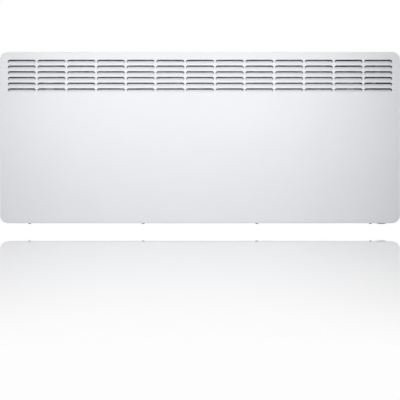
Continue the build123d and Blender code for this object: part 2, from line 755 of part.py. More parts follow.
def latch(side):
    """A quarter-turn latch: its T-head sits in front of the back plate, its lever behind the arm."""
    x = side * ARM_X
    bar_y = PLATE_Y - LATCH_BAR_GAP
    bar_front = bar_y - LATCH_BAR_T
    collar_y = BRACKET_Y + BRACKET_T
    lever_y = collar_y + LATCH_COLLAR_T
    back_y = lever_y + LEVER_T
    top = LATCH_Z + LEVER_L
    half = LEVER_W / 2
    bar = along_y(SlotOverall(LATCH_BAR_L, LATCH_BAR_H), bar_front, bar_y, x, LATCH_Z)
    neck = rod_y(x, LATCH_Z, bar_y - OVERLAP, lever_y + OVERLAP, LATCH_NECK_R)
    collar = rod_y(x, LATCH_Z, collar_y, lever_y, LATCH_COLLAR_R)
    hub = rod_y(x, LATCH_Z, lever_y, back_y, LEVER_W)
    lever = box(x - half, x + half, lever_y, back_y, LATCH_Z, top)
    pad = rod_y(x, top, lever_y, back_y + LEVER_PAD_RISE, half + LEVER_PAD_RIM)
    thin = LEVER_RIB_W / 2
    rib = box(x - thin, x + thin, back_y, back_y + LEVER_RIB_RISE, LATCH_Z, top)
    long = LATCH_GROOVE_L / 2
    floor = bar_front + LATCH_GROOVE_D
    low = LATCH_Z - LATCH_GROOVE_W / 2
    groove = box(x - long, x + long, bar_front - CUT, floor, low, low + LATCH_GROOVE_W)
    return bar + neck + collar + hub + lever + pad + rib - groove


# Heating chamber


def partition(x_face, side):
    """An end wall of the heating chamber; its flanges point away from the element."""
    outer = x_face + side * WRAP_T
    edge = x_face + side * CHAMBER_FLANGE
    wall = box(x_face, outer, CHAMBER_Y, PLATE_Y, CHAMBER_BOTTOM, CHAMBER_TOP)
    rear = box(x_face, edge, LIP_Y, PLATE_Y, CHAMBER_BOTTOM, CHAMBER_TOP)
    sill = CHAMBER_BOTTOM + CHAMBER_SILL
    front = box(x_face, edge, CHAMBER_Y, CHAMBER_Y + WRAP_T, sill, CHAMBER_TOP)
    x = x_face + side * CHAMBER_FLANGE / 2
    holes = [rod_y(x, z, LIP_Y - CUT, PLATE_Y + CUT, RIVET_R) for z in partition_foot_zs()]
    deep = CHAMBER_Y + WRAP_T + CUT
    holes += [rod_y(x, z, CHAMBER_Y - CUT, deep, RIVET_R) for z in shield_rivet_zs()]
    return wall + rear + front - holes


def shield_rivet_spots():
    xs = (CHAMBER_L - CHAMBER_FLANGE / 2, CHAMBER_R + CHAMBER_FLANGE / 2)
    return [(x, z) for x in xs for z in shield_rivet_zs()]


def shield_rivet_zs():
    return (CHAMBER_BOTTOM + SHIELD_RIVET_LOW, CHAMBER_MID, CHAMBER_TOP - SHIELD_RIVET_DROP)


def tube_leg_zs():
    return (TUBE_Z - TUBE_GAP / 2, TUBE_Z + TUBE_GAP / 2)


def partition_left():
    return partition(CHAMBER_L, -1)


def partition_right():
    wall = partition(CHAMBER_R, 1)
    holes = [(z, NECK_R) for z in tube_leg_zs()]
    holes += [(z, CUTOUT_R) for z in CUTOUT_ZS]
    holes += [(z, RIVET_R) for z in cutout_rivet_zs()]
    end = CHAMBER_R + WRAP_T + CUT
    return wall - [rod_x(CHAMBER_R - CUT, end, TUBE_Y, z, r) for z, r in holes]


def cutout_rivet_zs():
    return [z + step for z in CUTOUT_ZS for step in (-CUTOUT_EAR, CUTOUT_EAR)]


def front_shield():
    left = CHAMBER_L - CHAMBER_FLANGE
    right = CHAMBER_R + CHAMBER_FLANGE
    front = CHAMBER_Y - SHIELD_T
    sheet = box(left, right, front, CHAMBER_Y, CHAMBER_BOTTOM + CHAMBER_SILL, CHAMBER_TOP)
    hem = box(left, right, CHAMBER_Y - FRONT_HEM, CHAMBER_Y, CHAMBER_TOP - SHIELD_T, CHAMBER_TOP)
    spots = shield_rivet_spots()
    return sheet + hem - [rod_y(x, z, front - CUT, CHAMBER_Y + CUT, RIVET_R) for x, z in spots]


def rear_shield():
    """A shallow tray behind the element, with feet on the back plate."""
    left = CHAMBER_L + REAR_SHIELD_INSET
    right = CHAMBER_R - REAR_SHIELD_INSET
    front = REAR_SHIELD_Y
    back = front + REAR_SHIELD_T
    web = box(left, right, front, back, REAR_SHIELD_BOTTOM, REAR_SHIELD_TOP)
    foot_y = PLATE_Y - REAR_SHIELD_T
    parts = []
    for edge, way in ((REAR_SHIELD_BOTTOM, -1), (REAR_SHIELD_TOP, 1)):
        parts.append(box(left, right, front, PLATE_Y, edge - way * REAR_SHIELD_T, edge))
        foot = edge + way * SHIELD_FOOT
        parts.append(box(left, right, foot_y, PLATE_Y, edge - way * REAR_SHIELD_T, foot))
    holes = [rod_y(x, z, foot_y - CUT, PLATE_Y + CUT, RIVET_R) for x, z in shield_foot_spots()]
    holes += [rod_y(x, z, front - CUT, back + CUT, RIVET_R) for x, z in hanger_foot_spots()]
    clear = HOOK_SLOT_W / 2 + REAR_SHIELD_CLEAR
    low = REAR_SHIELD_BOTTOM - SHIELD_FOOT - CUT
    near = foot_y - CUT
    holes.append(box(-ARM_X - clear, -ARM_X + clear, near, REAR_Y, low, REAR_SHIELD_BOTTOM))
    return web + parts - holes


def hanger_rivet_zs():
    return (TUBE_Z - HANGER_RIVET_Z, TUBE_Z + HANGER_RIVET_Z)


def hanger_foot_spots():
    return [(x - HANGER_FOOT / 2, z) for x in HANGER_XS for z in hanger_rivet_zs()]


def element_hanger(x):
    """A sheet hanger for both tube legs, its foot on the rear shield."""
    low = TUBE_Z - HANGER_H / 2
    high = TUBE_Z + HANGER_H / 2
    foot_y = REAR_SHIELD_Y - WRAP_T
    plate = box(x, x + HANGER_T, TUBE_Y - 3 * TUBE_R, REAR_SHIELD_Y, low, high)
    foot = box(x - HANGER_FOOT, x + HANGER_T, foot_y, REAR_SHIELD_Y, low, high)
    cuts = [rod_x(x - CUT, x + HANGER_T + CUT, TUBE_Y, z, TUBE_R) for z in tube_leg_zs()]
    for z in hanger_rivet_zs():
        cuts.append(rod_y(x - HANGER_FOOT / 2, z, foot_y - CUT, REAR_SHIELD_Y + CUT, RIVET_R))
    return plate + foot - cuts


def element_tube():
    """Two straight legs and the bend that joins them at the left."""
    legs = [rod_x(TUBE_LEFT, TUBE_RIGHT, TUBE_Y, z, TUBE_R) for z in tube_leg_zs()]
    centre = Plane(origin=(TUBE_LEFT, TUBE_Y, TUBE_Z), x_dir=(1, 0, 0), z_dir=(0, -1, 0))
    ring = centre * Torus(TUBE_GAP / 2, TUBE_R)
    reach = TUBE_GAP / 2 + 2 * TUBE_R
    near = TUBE_Y - reach
    half = box(TUBE_LEFT - reach, TUBE_LEFT, near, TUBE_Y + reach, TUBE_Z - reach, TUBE_Z + reach)
    return legs[0] + legs[1] + (ring & half)


def element_fins():
    face = RectangleRounded(FIN_D, FIN_H, FIN_CORNER_R)
    blank = along_x(face, -FIN_T / 2, FIN_T / 2, TUBE_Y, TUBE_Z)
    for z in tube_leg_zs():
        blank = blank - rod_x(-CUT, CUT, TUBE_Y, z, TUBE_R)
    return group(Pos(FIN_X0 + k * FIN_PITCH, 0, 0) * blank for k in range(FIN_COUNT))


def element_ferrules():
    start = CHAMBER_R - FERRULE_L
    parts = []
    for z in tube_leg_zs():
        ring = rod_x(start, CHAMBER_R, TUBE_Y, z, FERRULE_R)
        neck = rod_x(CHAMBER_R, TUBE_RIGHT, TUBE_Y, z, NECK_R)
        parts.append(ring + neck - rod_x(start - CUT, TUBE_RIGHT + CUT, TUBE_Y, z, TUBE_R))
    return group(parts)


def element_insulators():
    end = TUBE_RIGHT + BEAD_L
    beads = []
    for z in tube_leg_zs():
        bead = rod_x(TUBE_RIGHT, end, TUBE_Y, z, NECK_R)
        beads.append(bead - rod_x(TUBE_RIGHT - CUT, end + CUT, TUBE_Y, z, PIN_R))
    return group(beads)


def element_terminals():
    tab_x = TUBE_RIGHT + BEAD_L + PIN_SHOW
    wide = BLADE_W / 2
    thin = BLADE_T / 2
    pins = []
    for z in tube_leg_zs():
        pin = rod_x(TUBE_RIGHT, tab_x + OVERLAP, TUBE_Y, z, PIN_R)
        tab = box(tab_x, tab_x + BLADE_L, TUBE_Y - wide, TUBE_Y + wide, z - thin, z + thin)
        pins.append(pin + tab)
    return group(pins)


def cutout_blade_x():
    """Where the cut-outs' blades end."""
    return CHAMBER_R + WRAP_T + CUTOUT_BODY + CUTOUT_BLADE


def thermal_cutout(z):
    """A bimetal cut-out set through the right partition, its cap facing the element."""
    face = CHAMBER_R + WRAP_T
    cap = rod_x(CHAMBER_R - CUTOUT_CAP, face, TUBE_Y, z, CUTOUT_R)
    ears = RectangleRounded(2 * CUTOUT_BODY_R, 2 * (CUTOUT_EAR + CUTOUT_EAR_END), CUTOUT_EAR_R)
    flange = along_x(ears, face, face + CUTOUT_FLANGE_T, TUBE_Y, z)
    body = rod_x(face, face + CUTOUT_BODY, TUBE_Y, z, CUTOUT_BODY_R)
    root = face + CUTOUT_BODY
    thin = BLADE_T / 2
    wide = SMALL_BLADE_W / 2
    blades = []
    for y in (TUBE_Y - CUTOUT_BLADE_Y, TUBE_Y + CUTOUT_BLADE_Y):
        blades.append(box(root, cutout_blade_x(), y - thin, y + thin, z - wide, z + wide))
    deep = face + CUTOUT_FLANGE_T + CUT
    holes = []
    for step in (-CUTOUT_EAR, CUTOUT_EAR):
        holes.append(rod_x(face - CUT, deep, TUBE_Y, z + step, RIVET_R))
    return cap + flange + body + blades - holes


def cutout_rivet(z):
    end = CHAMBER_R + WRAP_T + CUTOUT_FLANGE_T
    shank = rod_x(CHAMBER_R, end, TUBE_Y, z, RIVET_R)
    head = rod_x(end, end + RIVET_HEAD_H, TUBE_Y, z, CUTOUT_RIVET_HEAD_R)
    return shank + head + rod_x(CHAMBER_R - RIVET_BULB, CHAMBER_R, TUBE_Y, z, RIVET_BULB_R)


def chamber_rivets():
    """Blind rivets of the shields, the partitions, the hangers and the cut-outs."""
    hanger_y = REAR_SHIELD_Y - WRAP_T
    shield_back = REAR_SHIELD_Y + REAR_SHIELD_T
    front_y = CHAMBER_Y - SHIELD_T
    rivets = [rivet(x, z, PLATE_Y - REAR_SHIELD_T, REAR_Y) for x, z in shield_foot_spots()]
    rivets += [rivet(x, z, LIP_Y, REAR_Y) for x, z in partition_foot_spots()]
    rivets += [rivet(x, z, hanger_y, shield_back) for x, z in hanger_foot_spots()]
    rivets += [rivet(x, z, front_y, CHAMBER_Y + WRAP_T) for x, z in shield_rivet_spots()]
    rivets += [cutout_rivet(z) for z in cutout_rivet_zs()]
    return group(rivets)


# Control unit


def bezel_raised(gap=0.0):
    wide = CONTROL_W - 2 * BEZEL_IN_X + 2 * gap
    deep = CONTROL_D - 2 * BEZEL_IN_Y + 2 * gap
    return RectangleRounded(wide, deep, BEZEL_R + gap)


def control_screw_spots():
    return [(CONTROL_X + step, CONTROL_SCREW_Z) for step in (-CONTROL_SCREW_X, CONTROL_SCREW_X)]


def control_post_spots():
    dx = CONTROL_W / 2 - CONTROL_POST_IN
    dy = CONTROL_D / 2 - CONTROL_POST_IN
    return [(CONTROL_X + i * dx, CONTROL_Y + j * dy) for i in (-1, 1) for j in (-1, 1)]


def control_bezel():
    plate = RectangleRounded(CONTROL_W + 2 * BEZEL_LAP_X, CONTROL_D + 2 * BEZEL_LAP_Y, BEZEL_R)
    bezel = along_z(plate, BEZEL_Z, WRAP_IN_Z, CONTROL_X, CONTROL_Y)
    bezel = bezel + along_z(bezel_raised(), WRAP_IN_Z, BEZEL_TOP, CONTROL_X, CONTROL_Y)
    lens = RectangleRounded(LCD_W, LCD_D, LCD_R)
    hole_r = BUTTON_R + BUTTON_FIT
    low = BEZEL_Z - CUT
    high = BEZEL_TOP + CUT
    cuts = [along_z(lens, low, high, CONTROL_X, LCD_Y)]
    cuts += [rod_z(x, BUTTON_Y, low, high, hole_r) for x in BUTTON_XS]
    return bezel - cuts


def control_housing():
    wall = CONTROL_WALL
    outer = RectangleRounded(CONTROL_W, CONTROL_D, CONTROL_R)
    inner = RectangleRounded(CONTROL_W - 2 * wall, CONTROL_D - 2 * wall, CONTROL_INNER_R)
    shell = along_z(outer, CONTROL_BOTTOM, BEZEL_Z, CONTROL_X, CONTROL_Y)
    shell = shell - along_z(inner, CONTROL_BOTTOM + wall, BEZEL_Z + CUT, CONTROL_X, CONTROL_Y)
    rear = CONTROL_Y + CONTROL_D / 2
    boss_r = POST_R + CONTROL_BOSS_RIM
    posts = [rod_y(x, z, rear - wall / 2, PLATE_Y, boss_r) for x, z in control_screw_spots()]
    low = CONTROL_BOTTOM + wall / 2
    posts += [rod_z(x, y, low, CONTROL_PCB_Z, POST_R) for x, y in control_post_spots()]
    bore = CONTROL_PCB_Z - BOARD_SCREW_L - BORE_SPARE
    top = CONTROL_PCB_Z + CUT
    cuts = [rod_y(x, z, rear - wall, REAR_Y, REAR_SCREW_R) for x, z in control_screw_spots()]
    cuts += [rod_z(x, y, bore, top, BOARD_SCREW_R) for x, y in control_post_spots()]
    side = CONTROL_X + CONTROL_W / 2
    cuts.append(rod_x(side - wall - CUT, side + CUT, CABLE_Y, CABLE_Z, CABLE_R))
    return shell + posts - cuts


def control_board():
    edge = CONTROL_WALL + CONTROL_PCB_FIT
    board = RectangleRounded(CONTROL_W - 2 * edge, CONTROL_D - 2 * edge, PCB_CORNER_R)
    pcb = along_z(board, CONTROL_PCB_Z, CONTROL_PCB_TOP, CONTROL_X, CONTROL_Y)
    low = CONTROL_PCB_Z - CUT
    spots = control_post_spots()
    return pcb - [rod_z(x, y, low, CONTROL_PCB_TOP + CUT, BOARD_SCREW_R) for x, y in spots]


def board_screws():
    """The small screws of both circuit boards."""
    head_r = BOARD_SCREW_R + BOARD_SCREW_RIM
    top = CONTROL_PCB_TOP
    low = CONTROL_PCB_Z - BOARD_SCREW_L
    screws = []
    for x, y in control_post_spots():
        head = rod_z(x, y, top, top + BOARD_SCREW_HEAD, head_r)
        screws.append(head + rod_z(x, y, low, top, BOARD_SCREW_R))
    for x, z in tray_post_spots():
        head = rod_y(x, z, POWER_FACE_Y - BOARD_SCREW_HEAD, POWER_FACE_Y, head_r)
        screws.append(head + rod_y(x, z, POWER_FACE_Y, POWER_PCB_Y + BOARD_SCREW_L, BOARD_SCREW_R))
    return group(screws)


def tact_switches():
    base = CONTROL_PCB_TOP
    top = base + TACT_H
    half = TACT_W / 2
    well_r = BUTTON_STEM_R + TACT_FIT
    switches = []
    for x in BUTTON_XS:
        body = box(x - half, x + half, BUTTON_Y - half, BUTTON_Y + half, base, top)
        switches.append(body - rod_z(x, BUTTON_Y, base + TACT_WELL, top + CUT, well_r))
    return group(switches)


def button(x):
    """A push button with its stem and the collar that holds it under the bezel."""
    foot = CONTROL_PCB_TOP + TACT_H + BUTTON_SEAT
    stem = rod_z(x, BUTTON_Y, foot - BUTTON_STEM_L, foot + OVERLAP, BUTTON_STEM_R)
    cap = rod_z(x, BUTTON_Y, foot, BUTTON_TOP, BUTTON_R)
    cap = fillet(cap.edges().group_by(Axis.Z)[-1], BUTTON_ROUND)
    collar_r = BUTTON_R + BUTTON_COLLAR
    return stem + cap + rod_z(x, BUTTON_Y, BEZEL_Z - BUTTON_COLLAR_T, BEZEL_Z, collar_r)


def display_block(rim, low, high):
    half_w = LCD_W / 2 + rim
    half_d = LCD_D / 2 + rim
    left = CONTROL_X - half_w
    return box(left, CONTROL_X + half_w, LCD_Y - half_d, LCD_Y + half_d, low, high)


def display_module():
    return display_block(2 * LCD_RIM, CONTROL_PCB_TOP, BEZEL_Z - LCD_T)


def display_glass():
    return display_block(LCD_RIM, BEZEL_Z - LCD_T, BEZEL_Z)


def display_window():
    return along_z(RectangleRounded(LCD_W, LCD_D, LCD_R), BEZEL_Z, BEZEL_TOP, CONTROL_X, LCD_Y)


def rear_screw(x, z, tip_y):
    shank = rod_y(x, z, tip_y, REAR_Y, REAR_SCREW_R)
    face = REAR_Y + REAR_SCREW_HEAD
    head = rod_y(x, z, REAR_Y, face, 2 * REAR_SCREW_R)
    return shank + fillet(front_edges(head, face), REAR_SCREW_ROUND)


def rear_screws():
    """Screws from the wall side into the control housing and the power tray."""
    deep = CONTROL_Y + CONTROL_D / 2 - CONTROL_WALL
    screws = [rear_screw(x, z, deep) for x, z in control_screw_spots()]
    deep = PLATE_Y - TRAY_BOSS + TRAY_BOSS_END
    return group(screws + [rear_screw(x, z, deep) for x, z in tray_screw_spots()])


# Mains switch


def switch_body_size(margin):
    """The rocker's width and depth plus a margin all round."""
    return (ROCKER_W + 2 * (ROCKER_FIT + margin), 2 * (ROCKER_R + ROCKER_FIT + margin))


def switch_frame():
    """The rocker switch's body and its visible frame under the casing."""
    base = -WRAP_OUT_Z
    face = base - FRAME_T
    flange = along_z(RectangleRounded(FRAME_W, FRAME_D, FRAME_R), face, base, ROCKER_X, ROCKER_Y)
    flange = fillet(flange.edges().group_by(Axis.Z)[0], FRAME_ROUND)
    shell = Rectangle(*switch_body_size(FRAME_WALL))
    body = along_z(shell, base - FRAME_T / 2, base + SWITCH_H, ROCKER_X, ROCKER_Y)
    mouth = Rectangle(*switch_body_size(0))
    pocket = along_z(mouth, face - CUT, ROCKER_PIVOT_Z + POCKET_TOP, ROCKER_X, ROCKER_Y)
    reach = ROCKER_W / 2 + ROCKER_FIT + ROCKER_PIN_L + ROCKER_PIN_END
    pin_r = ROCKER_PIN_R + ROCKER_PIN_FIT
    pins = rod_x(ROCKER_X - reach, ROCKER_X + reach, ROCKER_Y, ROCKER_PIVOT_Z, pin_r)
    return flange + body - pocket - pins


def switch_rocker():
    """The rocker at rest: off, its rear half pressed in."""
    wide = ROCKER_R + CUT
    wedge = Polygon(
        (-wide, ROCKER_BACK),
        (-wide, -ROCKER_CHEEK),
        (0, -ROCKER_FACE),
        (wide, -ROCKER_CHEEK),
        (wide, ROCKER_BACK),
        align=None,
    )
    half = ROCKER_W / 2
    body = along_x(Circle(ROCKER_R) & wedge, ROCKER_X - half, ROCKER_X + half)
    reach = half + ROCKER_FIT + ROCKER_PIN_L
    pins = rod_x(ROCKER_X - reach, ROCKER_X + reach, 0, 0, ROCKER_PIN_R)
    return Pos(0, ROCKER_Y, ROCKER_PIVOT_Z) * Rot(ROCKER_TILT, 0, 0) * (body + pins)


def switch_terminals():
    base = SWITCH_H - WRAP_OUT_Z
    thin = BLADE_T / 2
    wide = SMALL_BLADE_W / 2
    blades = []
    for x in (ROCKER_X - SWITCH_TAB_X, ROCKER_X + SWITCH_TAB_X):
        for y in (ROCKER_Y - SWITCH_TAB_Y, ROCKER_Y + SWITCH_TAB_Y):
            blades.append(box(x - thin, x + thin, y - wide, y + wide, base, base + SWITCH_TAB))
    return group(blades)


# Power board


def tray_screw_spots():
    return [(TRAY_X, TRAY_Z + step) for step in (-TRAY_SCREW_Z, TRAY_SCREW_Z)]


def tray_post_spots():
    dx = TRAY_W / 2 - TRAY_POST
    dz = TRAY_H / 2 - TRAY_POST
    return [(TRAY_X + i * dx, TRAY_Z + j * dz) for i in (-1, 1) for j in (-1, 1)]


def power_tray():
    front = PLATE_Y - TRAY_D
    outer = RectangleRounded(TRAY_W, TRAY_H, TRAY_R)
    inner = RectangleRounded(TRAY_W - 2 * TRAY_WALL, TRAY_H - 2 * TRAY_WALL, TRAY_INNER_R)
    tray = along_y(outer, front, PLATE_Y, TRAY_X, TRAY_Z)
    tray = tray - along_y(inner, front - CUT, PLATE_Y - TRAY_WALL, TRAY_X, TRAY_Z)
    boss_y = PLATE_Y - TRAY_BOSS
    bore_y = POWER_PCB_Y + BOARD_SCREW_L
    root_y = PLATE_Y - TRAY_WALL / 2
    boss_r = POST_R + TRAY_BOSS_RIM
    posts = [rod_y(x, z, POWER_PCB_Y, root_y, POST_R) for x, z in tray_post_spots()]
    posts += [rod_y(x, z, boss_y, root_y, boss_r) for x, z in tray_screw_spots()]
    cuts = [rod_y(x, z, POWER_PCB_Y - CUT, bore_y, BOARD_SCREW_R) for x, z in tray_post_spots()]
    low = boss_y + TRAY_BOSS_END
    cuts += [rod_y(x, z, low, REAR_Y, REAR_SCREW_R) for x, z in tray_screw_spots()]
    return tray + posts - cuts


def power_board():
    board = RectangleRounded(TRAY_W - 3 * TRAY_WALL, TRAY_H - 3 * TRAY_WALL, PCB_CORNER_R)
    pcb = along_y(board, POWER_FACE_Y, POWER_PCB_Y, TRAY_X, TRAY_Z)
    front = POWER_FACE_Y - CUT
    spots = tray_post_spots()
    return pcb - [rod_y(x, z, front, POWER_PCB_Y + CUT, BOARD_SCREW_R) for x, z in spots]


def on_board(x, z, width, height, depth):
    """A part on the power board, its centre at x and z from the board's centre."""
    half_w = width / 2
    half_h = height / 2
    body = box(-half_w, half_w, POWER_FACE_Y - depth, POWER_FACE_Y, -half_h, half_h)
    return Pos(TRAY_X + x, 0, TRAY_Z + z) * body


def power_relay():
    relay = on_board(RELAY_X, TRAY_H / 2 - RELAY_DROP, *RELAY_SIZE)
    return chamfer(relay.edges().group_by(Axis.Y)[0], RELAY_CHAMFER)


def power_capacitor():
    cap = on_board(CAP_X, TRAY_H / 2 - CAP_DROP, *CAP_SIZE)
    return fillet(cap.edges().group_by(Axis.Y)[0], CAP_ROUND)


def supply_transformer():
    core = on_board(TRANSFORMER_X, TRANSFORMER_Z, *TRANSFORMER_SIZE)
    return chamfer(core.edges().filter_by(Axis.Y), TRANSFORMER_CHAMFER)


def block_way_xs():
    return [BLOCK_X + k * BLOCK_PITCH for k in range(BLOCK_WAYS)]


def terminal_block():
    front = POWER_FACE_Y - BLOCK_D
    left = BLOCK_X - BLOCK_PITCH / 2
    right = left + BLOCK_WAYS * BLOCK_PITCH
    low = BLOCK_Z - BLOCK_H / 2
    block = box(left, right, front, POWER_FACE_Y, low, low + BLOCK_H)
    entry_r = WIRE_R + BLOCK_ENTRY_FIT
    cuts = []
    for x in block_way_xs():
        cuts.append(rod_y(x, BLOCK_Z, front - CUT, front + BLOCK_WELL, BLOCK_WELL_R))
        cuts.append(rod_z(x, front + BLOCK_ENTRY_Y, low - CUT, low + BLOCK_ENTRY_L, entry_r))
    return block - cuts


def terminal_screws():
    front = POWER_FACE_Y - BLOCK_D
    top = front + BLOCK_SCREW_TOP
    reach = BLOCK_SCREW_R + CUT
    low = BLOCK_Z - BLOCK_GROOVE_W / 2
    high = BLOCK_Z + BLOCK_GROOVE_W / 2
    screws = []
    for x in block_way_xs():
        screw = rod_y(x, BLOCK_Z, top, front + BLOCK_WELL, BLOCK_SCREW_R)
        groove = box(x - reach, x + reach, top - CUT, top + BLOCK_GROOVE_D, low, high)
        screws.append(screw - groove)
    return group(screws)


def board_plugs():
    """The plug sockets of the display cable and the sensor lead."""
    display = on_board(DISPLAY_PLUG_X, DISPLAY_PLUG_Z, DISPLAY_PLUG_W, PLUG_H, PLUG_D)
    sensor = on_board(SENSOR_PLUG_X, SENSOR_PLUG_Z, SENSOR_PLUG_W, PLUG_H, PLUG_D)
    return group([display, sensor])


# Small parts on the right


def sensor_clip():
    half = SENSOR_CLIP / 2
    low = -WRAP_IN_Z
    high = SENSOR_Z + SENSOR_R / 2
    left = SENSOR_X - half
    block = box(left, SENSOR_X + half, SENSOR_Y - half, SENSOR_Y + half, low, high)
    return block - rod_x(left - CUT, SENSOR_X + half + CUT, SENSOR_Y, SENSOR_Z, SENSOR_R)


def room_sensor():
    bulb = rod_x(SENSOR_X - SENSOR_LEFT, SENSOR_X + SENSOR_RIGHT, SENSOR_Y, SENSOR_Z, SENSOR_R)
    return fillet(bulb.edges().group_by(Axis.X)[0], SENSOR_ROUND)


def cord_grommet():
    rear_y = REAR_Y + GROMMET_REAR_T
    front_y = PLATE_Y - GROMMET_FRONT_T
    rear = rod_y(GROMMET_X, GROMMET_Z, REAR_Y, rear_y, GROMMET_R + GROMMET_REAR_RIM)
    neck = rod_y(GROMMET_X, GROMMET_Z, PLATE_Y, REAR_Y, GROMMET_R)
    front = rod_y(GROMMET_X, GROMMET_Z, front_y, PLATE_Y, GROMMET_R + GROMMET_FRONT_RIM)
    bore = rod_y(GROMMET_X, GROMMET_Z, front_y - CUT, rear_y + CUT, CORD_R)
    return rear + neck + front - bore


def cord_clamp():
    """The strain relief that grips the cord, above the grommet."""
    z = GROMMET_Z + CLAMP_RISE
    left = GROMMET_X - CLAMP_W / 2
    right = GROMMET_X + CLAMP_W / 2
    base_y = PLATE_Y - CLAMP_BASE_D
    base_h = CLAMP_BASE_H / 2
    bridge_h = CLAMP_BRIDGE_H / 2
    base = box(left, right, base_y, PLATE_Y, z - base_h, z + base_h)
    bridge = box(left, right, base_y - CLAMP_BRIDGE_D, base_y, z - bridge_h, z + bridge_h)
    cord_y = PLATE_Y - CLAMP_CORD_IN - CORD_R
    reach = base_h + CUT
    return base + bridge - rod_z(GROMMET_X, cord_y, z - reach, z + reach, CORD_R)


def earth_stud():
    weld = rod_y(EARTH_X, EARTH_Z, PLATE_Y - WELD_T, PLATE_Y, STUD_R + WELD_RIM)
    return weld + rod_y(EARTH_X, EARTH_Z, PLATE_Y - STUD_L, PLATE_Y - WELD_T / 2, STUD_R)


def earth_lug():
    """The ring terminal crimped to the earth wire."""
    y0 = PLATE_Y - WELD_T - LUG_T
    y1 = y0 + LUG_T
    left = EARTH_X - LUG_TAIL_W / 2
    wire_y = y0 - CRIMP_Y
    top = EARTH_Z + CRIMP_TOP
    ring = rod_y(EARTH_X, EARTH_Z, y0, y1, 2 * STUD_R)
    tail = box(left, left + LUG_TAIL_W, y0, y1, EARTH_Z, EARTH_Z + LUG_TAIL)
    crimp = rod_z(EARTH_X, wire_y, EARTH_Z + CRIMP_LOW, top, WIRE_R + CRIMP_WALL)
    lug = ring + tail + crimp - rod_y(EARTH_X, EARTH_Z, y0 - CUT, y1 + CUT, STUD_R)
    return lug - rod_z(EARTH_X, wire_y, EARTH_Z + WIRE_STOP, top + CUT, WIRE_R)


def earth_nut():
    rear = PLATE_Y - WELD_T - LUG_T
    front = rear - NUT_H
    nut = along_y(RegularPolygon(NUT_R, 6), front, rear, EARTH_X, EARTH_Z)
    return nut - rod_y(EARTH_X, EARTH_Z, front - CUT, rear + CUT, STUD_R)


# Wires: each route's inner points are chosen by hand, as steps from the parts that it meets

SWITCH_BEND = 14.0
EARTH_BEND = 12.0
NEUTRAL_BEND = 10.0
ELEMENT_BEND = 8.0
LEAD_BEND = 6.0
CABLE_BEND = 9.0
TAB_OVERLAP = 3.0
PLUG_Y = 6.0
WIRE_GAP = 0.4


def block_entry(way):
    """Where a wire enters the terminal block from below."""
    y = POWER_FACE_Y - BLOCK_D + BLOCK_ENTRY_Y
    return (block_way_xs()[way], y, BLOCK_Z - BLOCK_WIRE_DROP)


def switch_wire(way, side):
    """From the terminal block down to one of the mains switch's tabs."""
    x, y, z = block_entry(way)
    tab_x = ROCKER_X + side * BLADE_SIDE
    tab_y = ROCKER_Y + SWITCH_TAB_Y
    end = SWITCH_H + SWITCH_TAB - 1 - WRAP_OUT_Z
    points = [(x, y, z), (x, y, z - 27), (tab_x, tab_y, end + 76), (tab_x, tab_y, end)]
    return tube(points, WIRE_R, SWITCH_BEND)


def wire_earth():
    y = PLATE_Y - WELD_T - LUG_T - CRIMP_Y
    x_way, y_way, z_way = block_entry(3)
    low = EARTH_Z + WIRE_STOP
    points = [(EARTH_X, y, low), (EARTH_X, y, low + 28), (x_way, y_way, z_way - 32)]
    return tube(points + [(x_way, y_way, z_way)], WIRE_R, EARTH_BEND)


def wire_element_live():
    x, y, z = block_entry(1)
    blade = cutout_blade_x() - TAB_OVERLAP
    side = TUBE_Y - BLADE_SIDE
    points = [(x, y, z), (x, y, z - 37), (x - 29, side, z - 39), (x - 54, side, CUTOUT_ZS[1])]
    return tube(points + [(blade, side, CUTOUT_ZS[1])], WIRE_R, ELEMENT_BEND)


def wire_cutout_link():
    blade = cutout_blade_x() - TAB_OVERLAP
    y = TUBE_Y + BLADE_SIDE
    upper = CUTOUT_ZS[1]
    lower = CUTOUT_ZS[0]
    points = [(blade, y, upper), (blade + 18, y, upper), (blade + 18, y, lower), (blade, y, lower)]
    return tube(points, WIRE_R, ELEMENT_BEND)


def wire_cutout_element():
    blade = cutout_blade_x() - TAB_OVERLAP
    high = tube_leg_zs()[1] + WIRE_R + WIRE_GAP
    y = TUBE_Y - BLADE_SIDE
    points = [(blade, y, CUTOUT_ZS[0]), (blade + 14, y, CUTOUT_ZS[0]), (blade + 14, TUBE_Y, high)]
    return tube(points + [(TUBE_RIGHT + 12, TUBE_Y, high)], WIRE_R, ELEMENT_BEND)


def wire_element_neutral():
    x, y, z = block_entry(2)
    low = tube_leg_zs()[0] - WIRE_R - WIRE_GAP
    points = [(x, y, z), (x, y, z - 47), (x - 49, TUBE_Y, z - 97), (x - 49, TUBE_Y, low)]
    return tube(points + [(TUBE_RIGHT + 12, TUBE_Y, low)], WIRE_R, NEUTRAL_BEND)


def element_wires():
    """From the terminal block through both cut-outs to the element, and back."""
    live = [wire_element_live(), wire_cutout_link(), wire_cutout_element()]
    return group(live + [wire_element_neutral()])


def sensor_lead():
    start = (SENSOR_X + SENSOR_RIGHT, SENSOR_Y, SENSOR_Z)
    corner = (SENSOR_X + 17, SENSOR_Y, SENSOR_Z)
    x = TRAY_X + SENSOR_PLUG_X
    y = POWER_FACE_Y - PLUG_Y
    top = TRAY_Z + SENSOR_PLUG_Z - PLUG_H / 2
    points = [start, corner, (SENSOR_X + 17, -66, SENSOR_Z + 23), (SENSOR_X + 17, -66, top - 90)]
    return tube(points + [(x, -62, top - 45), (x, y, top - 18), (x, y, top)], LEAD_R, LEAD_BEND)


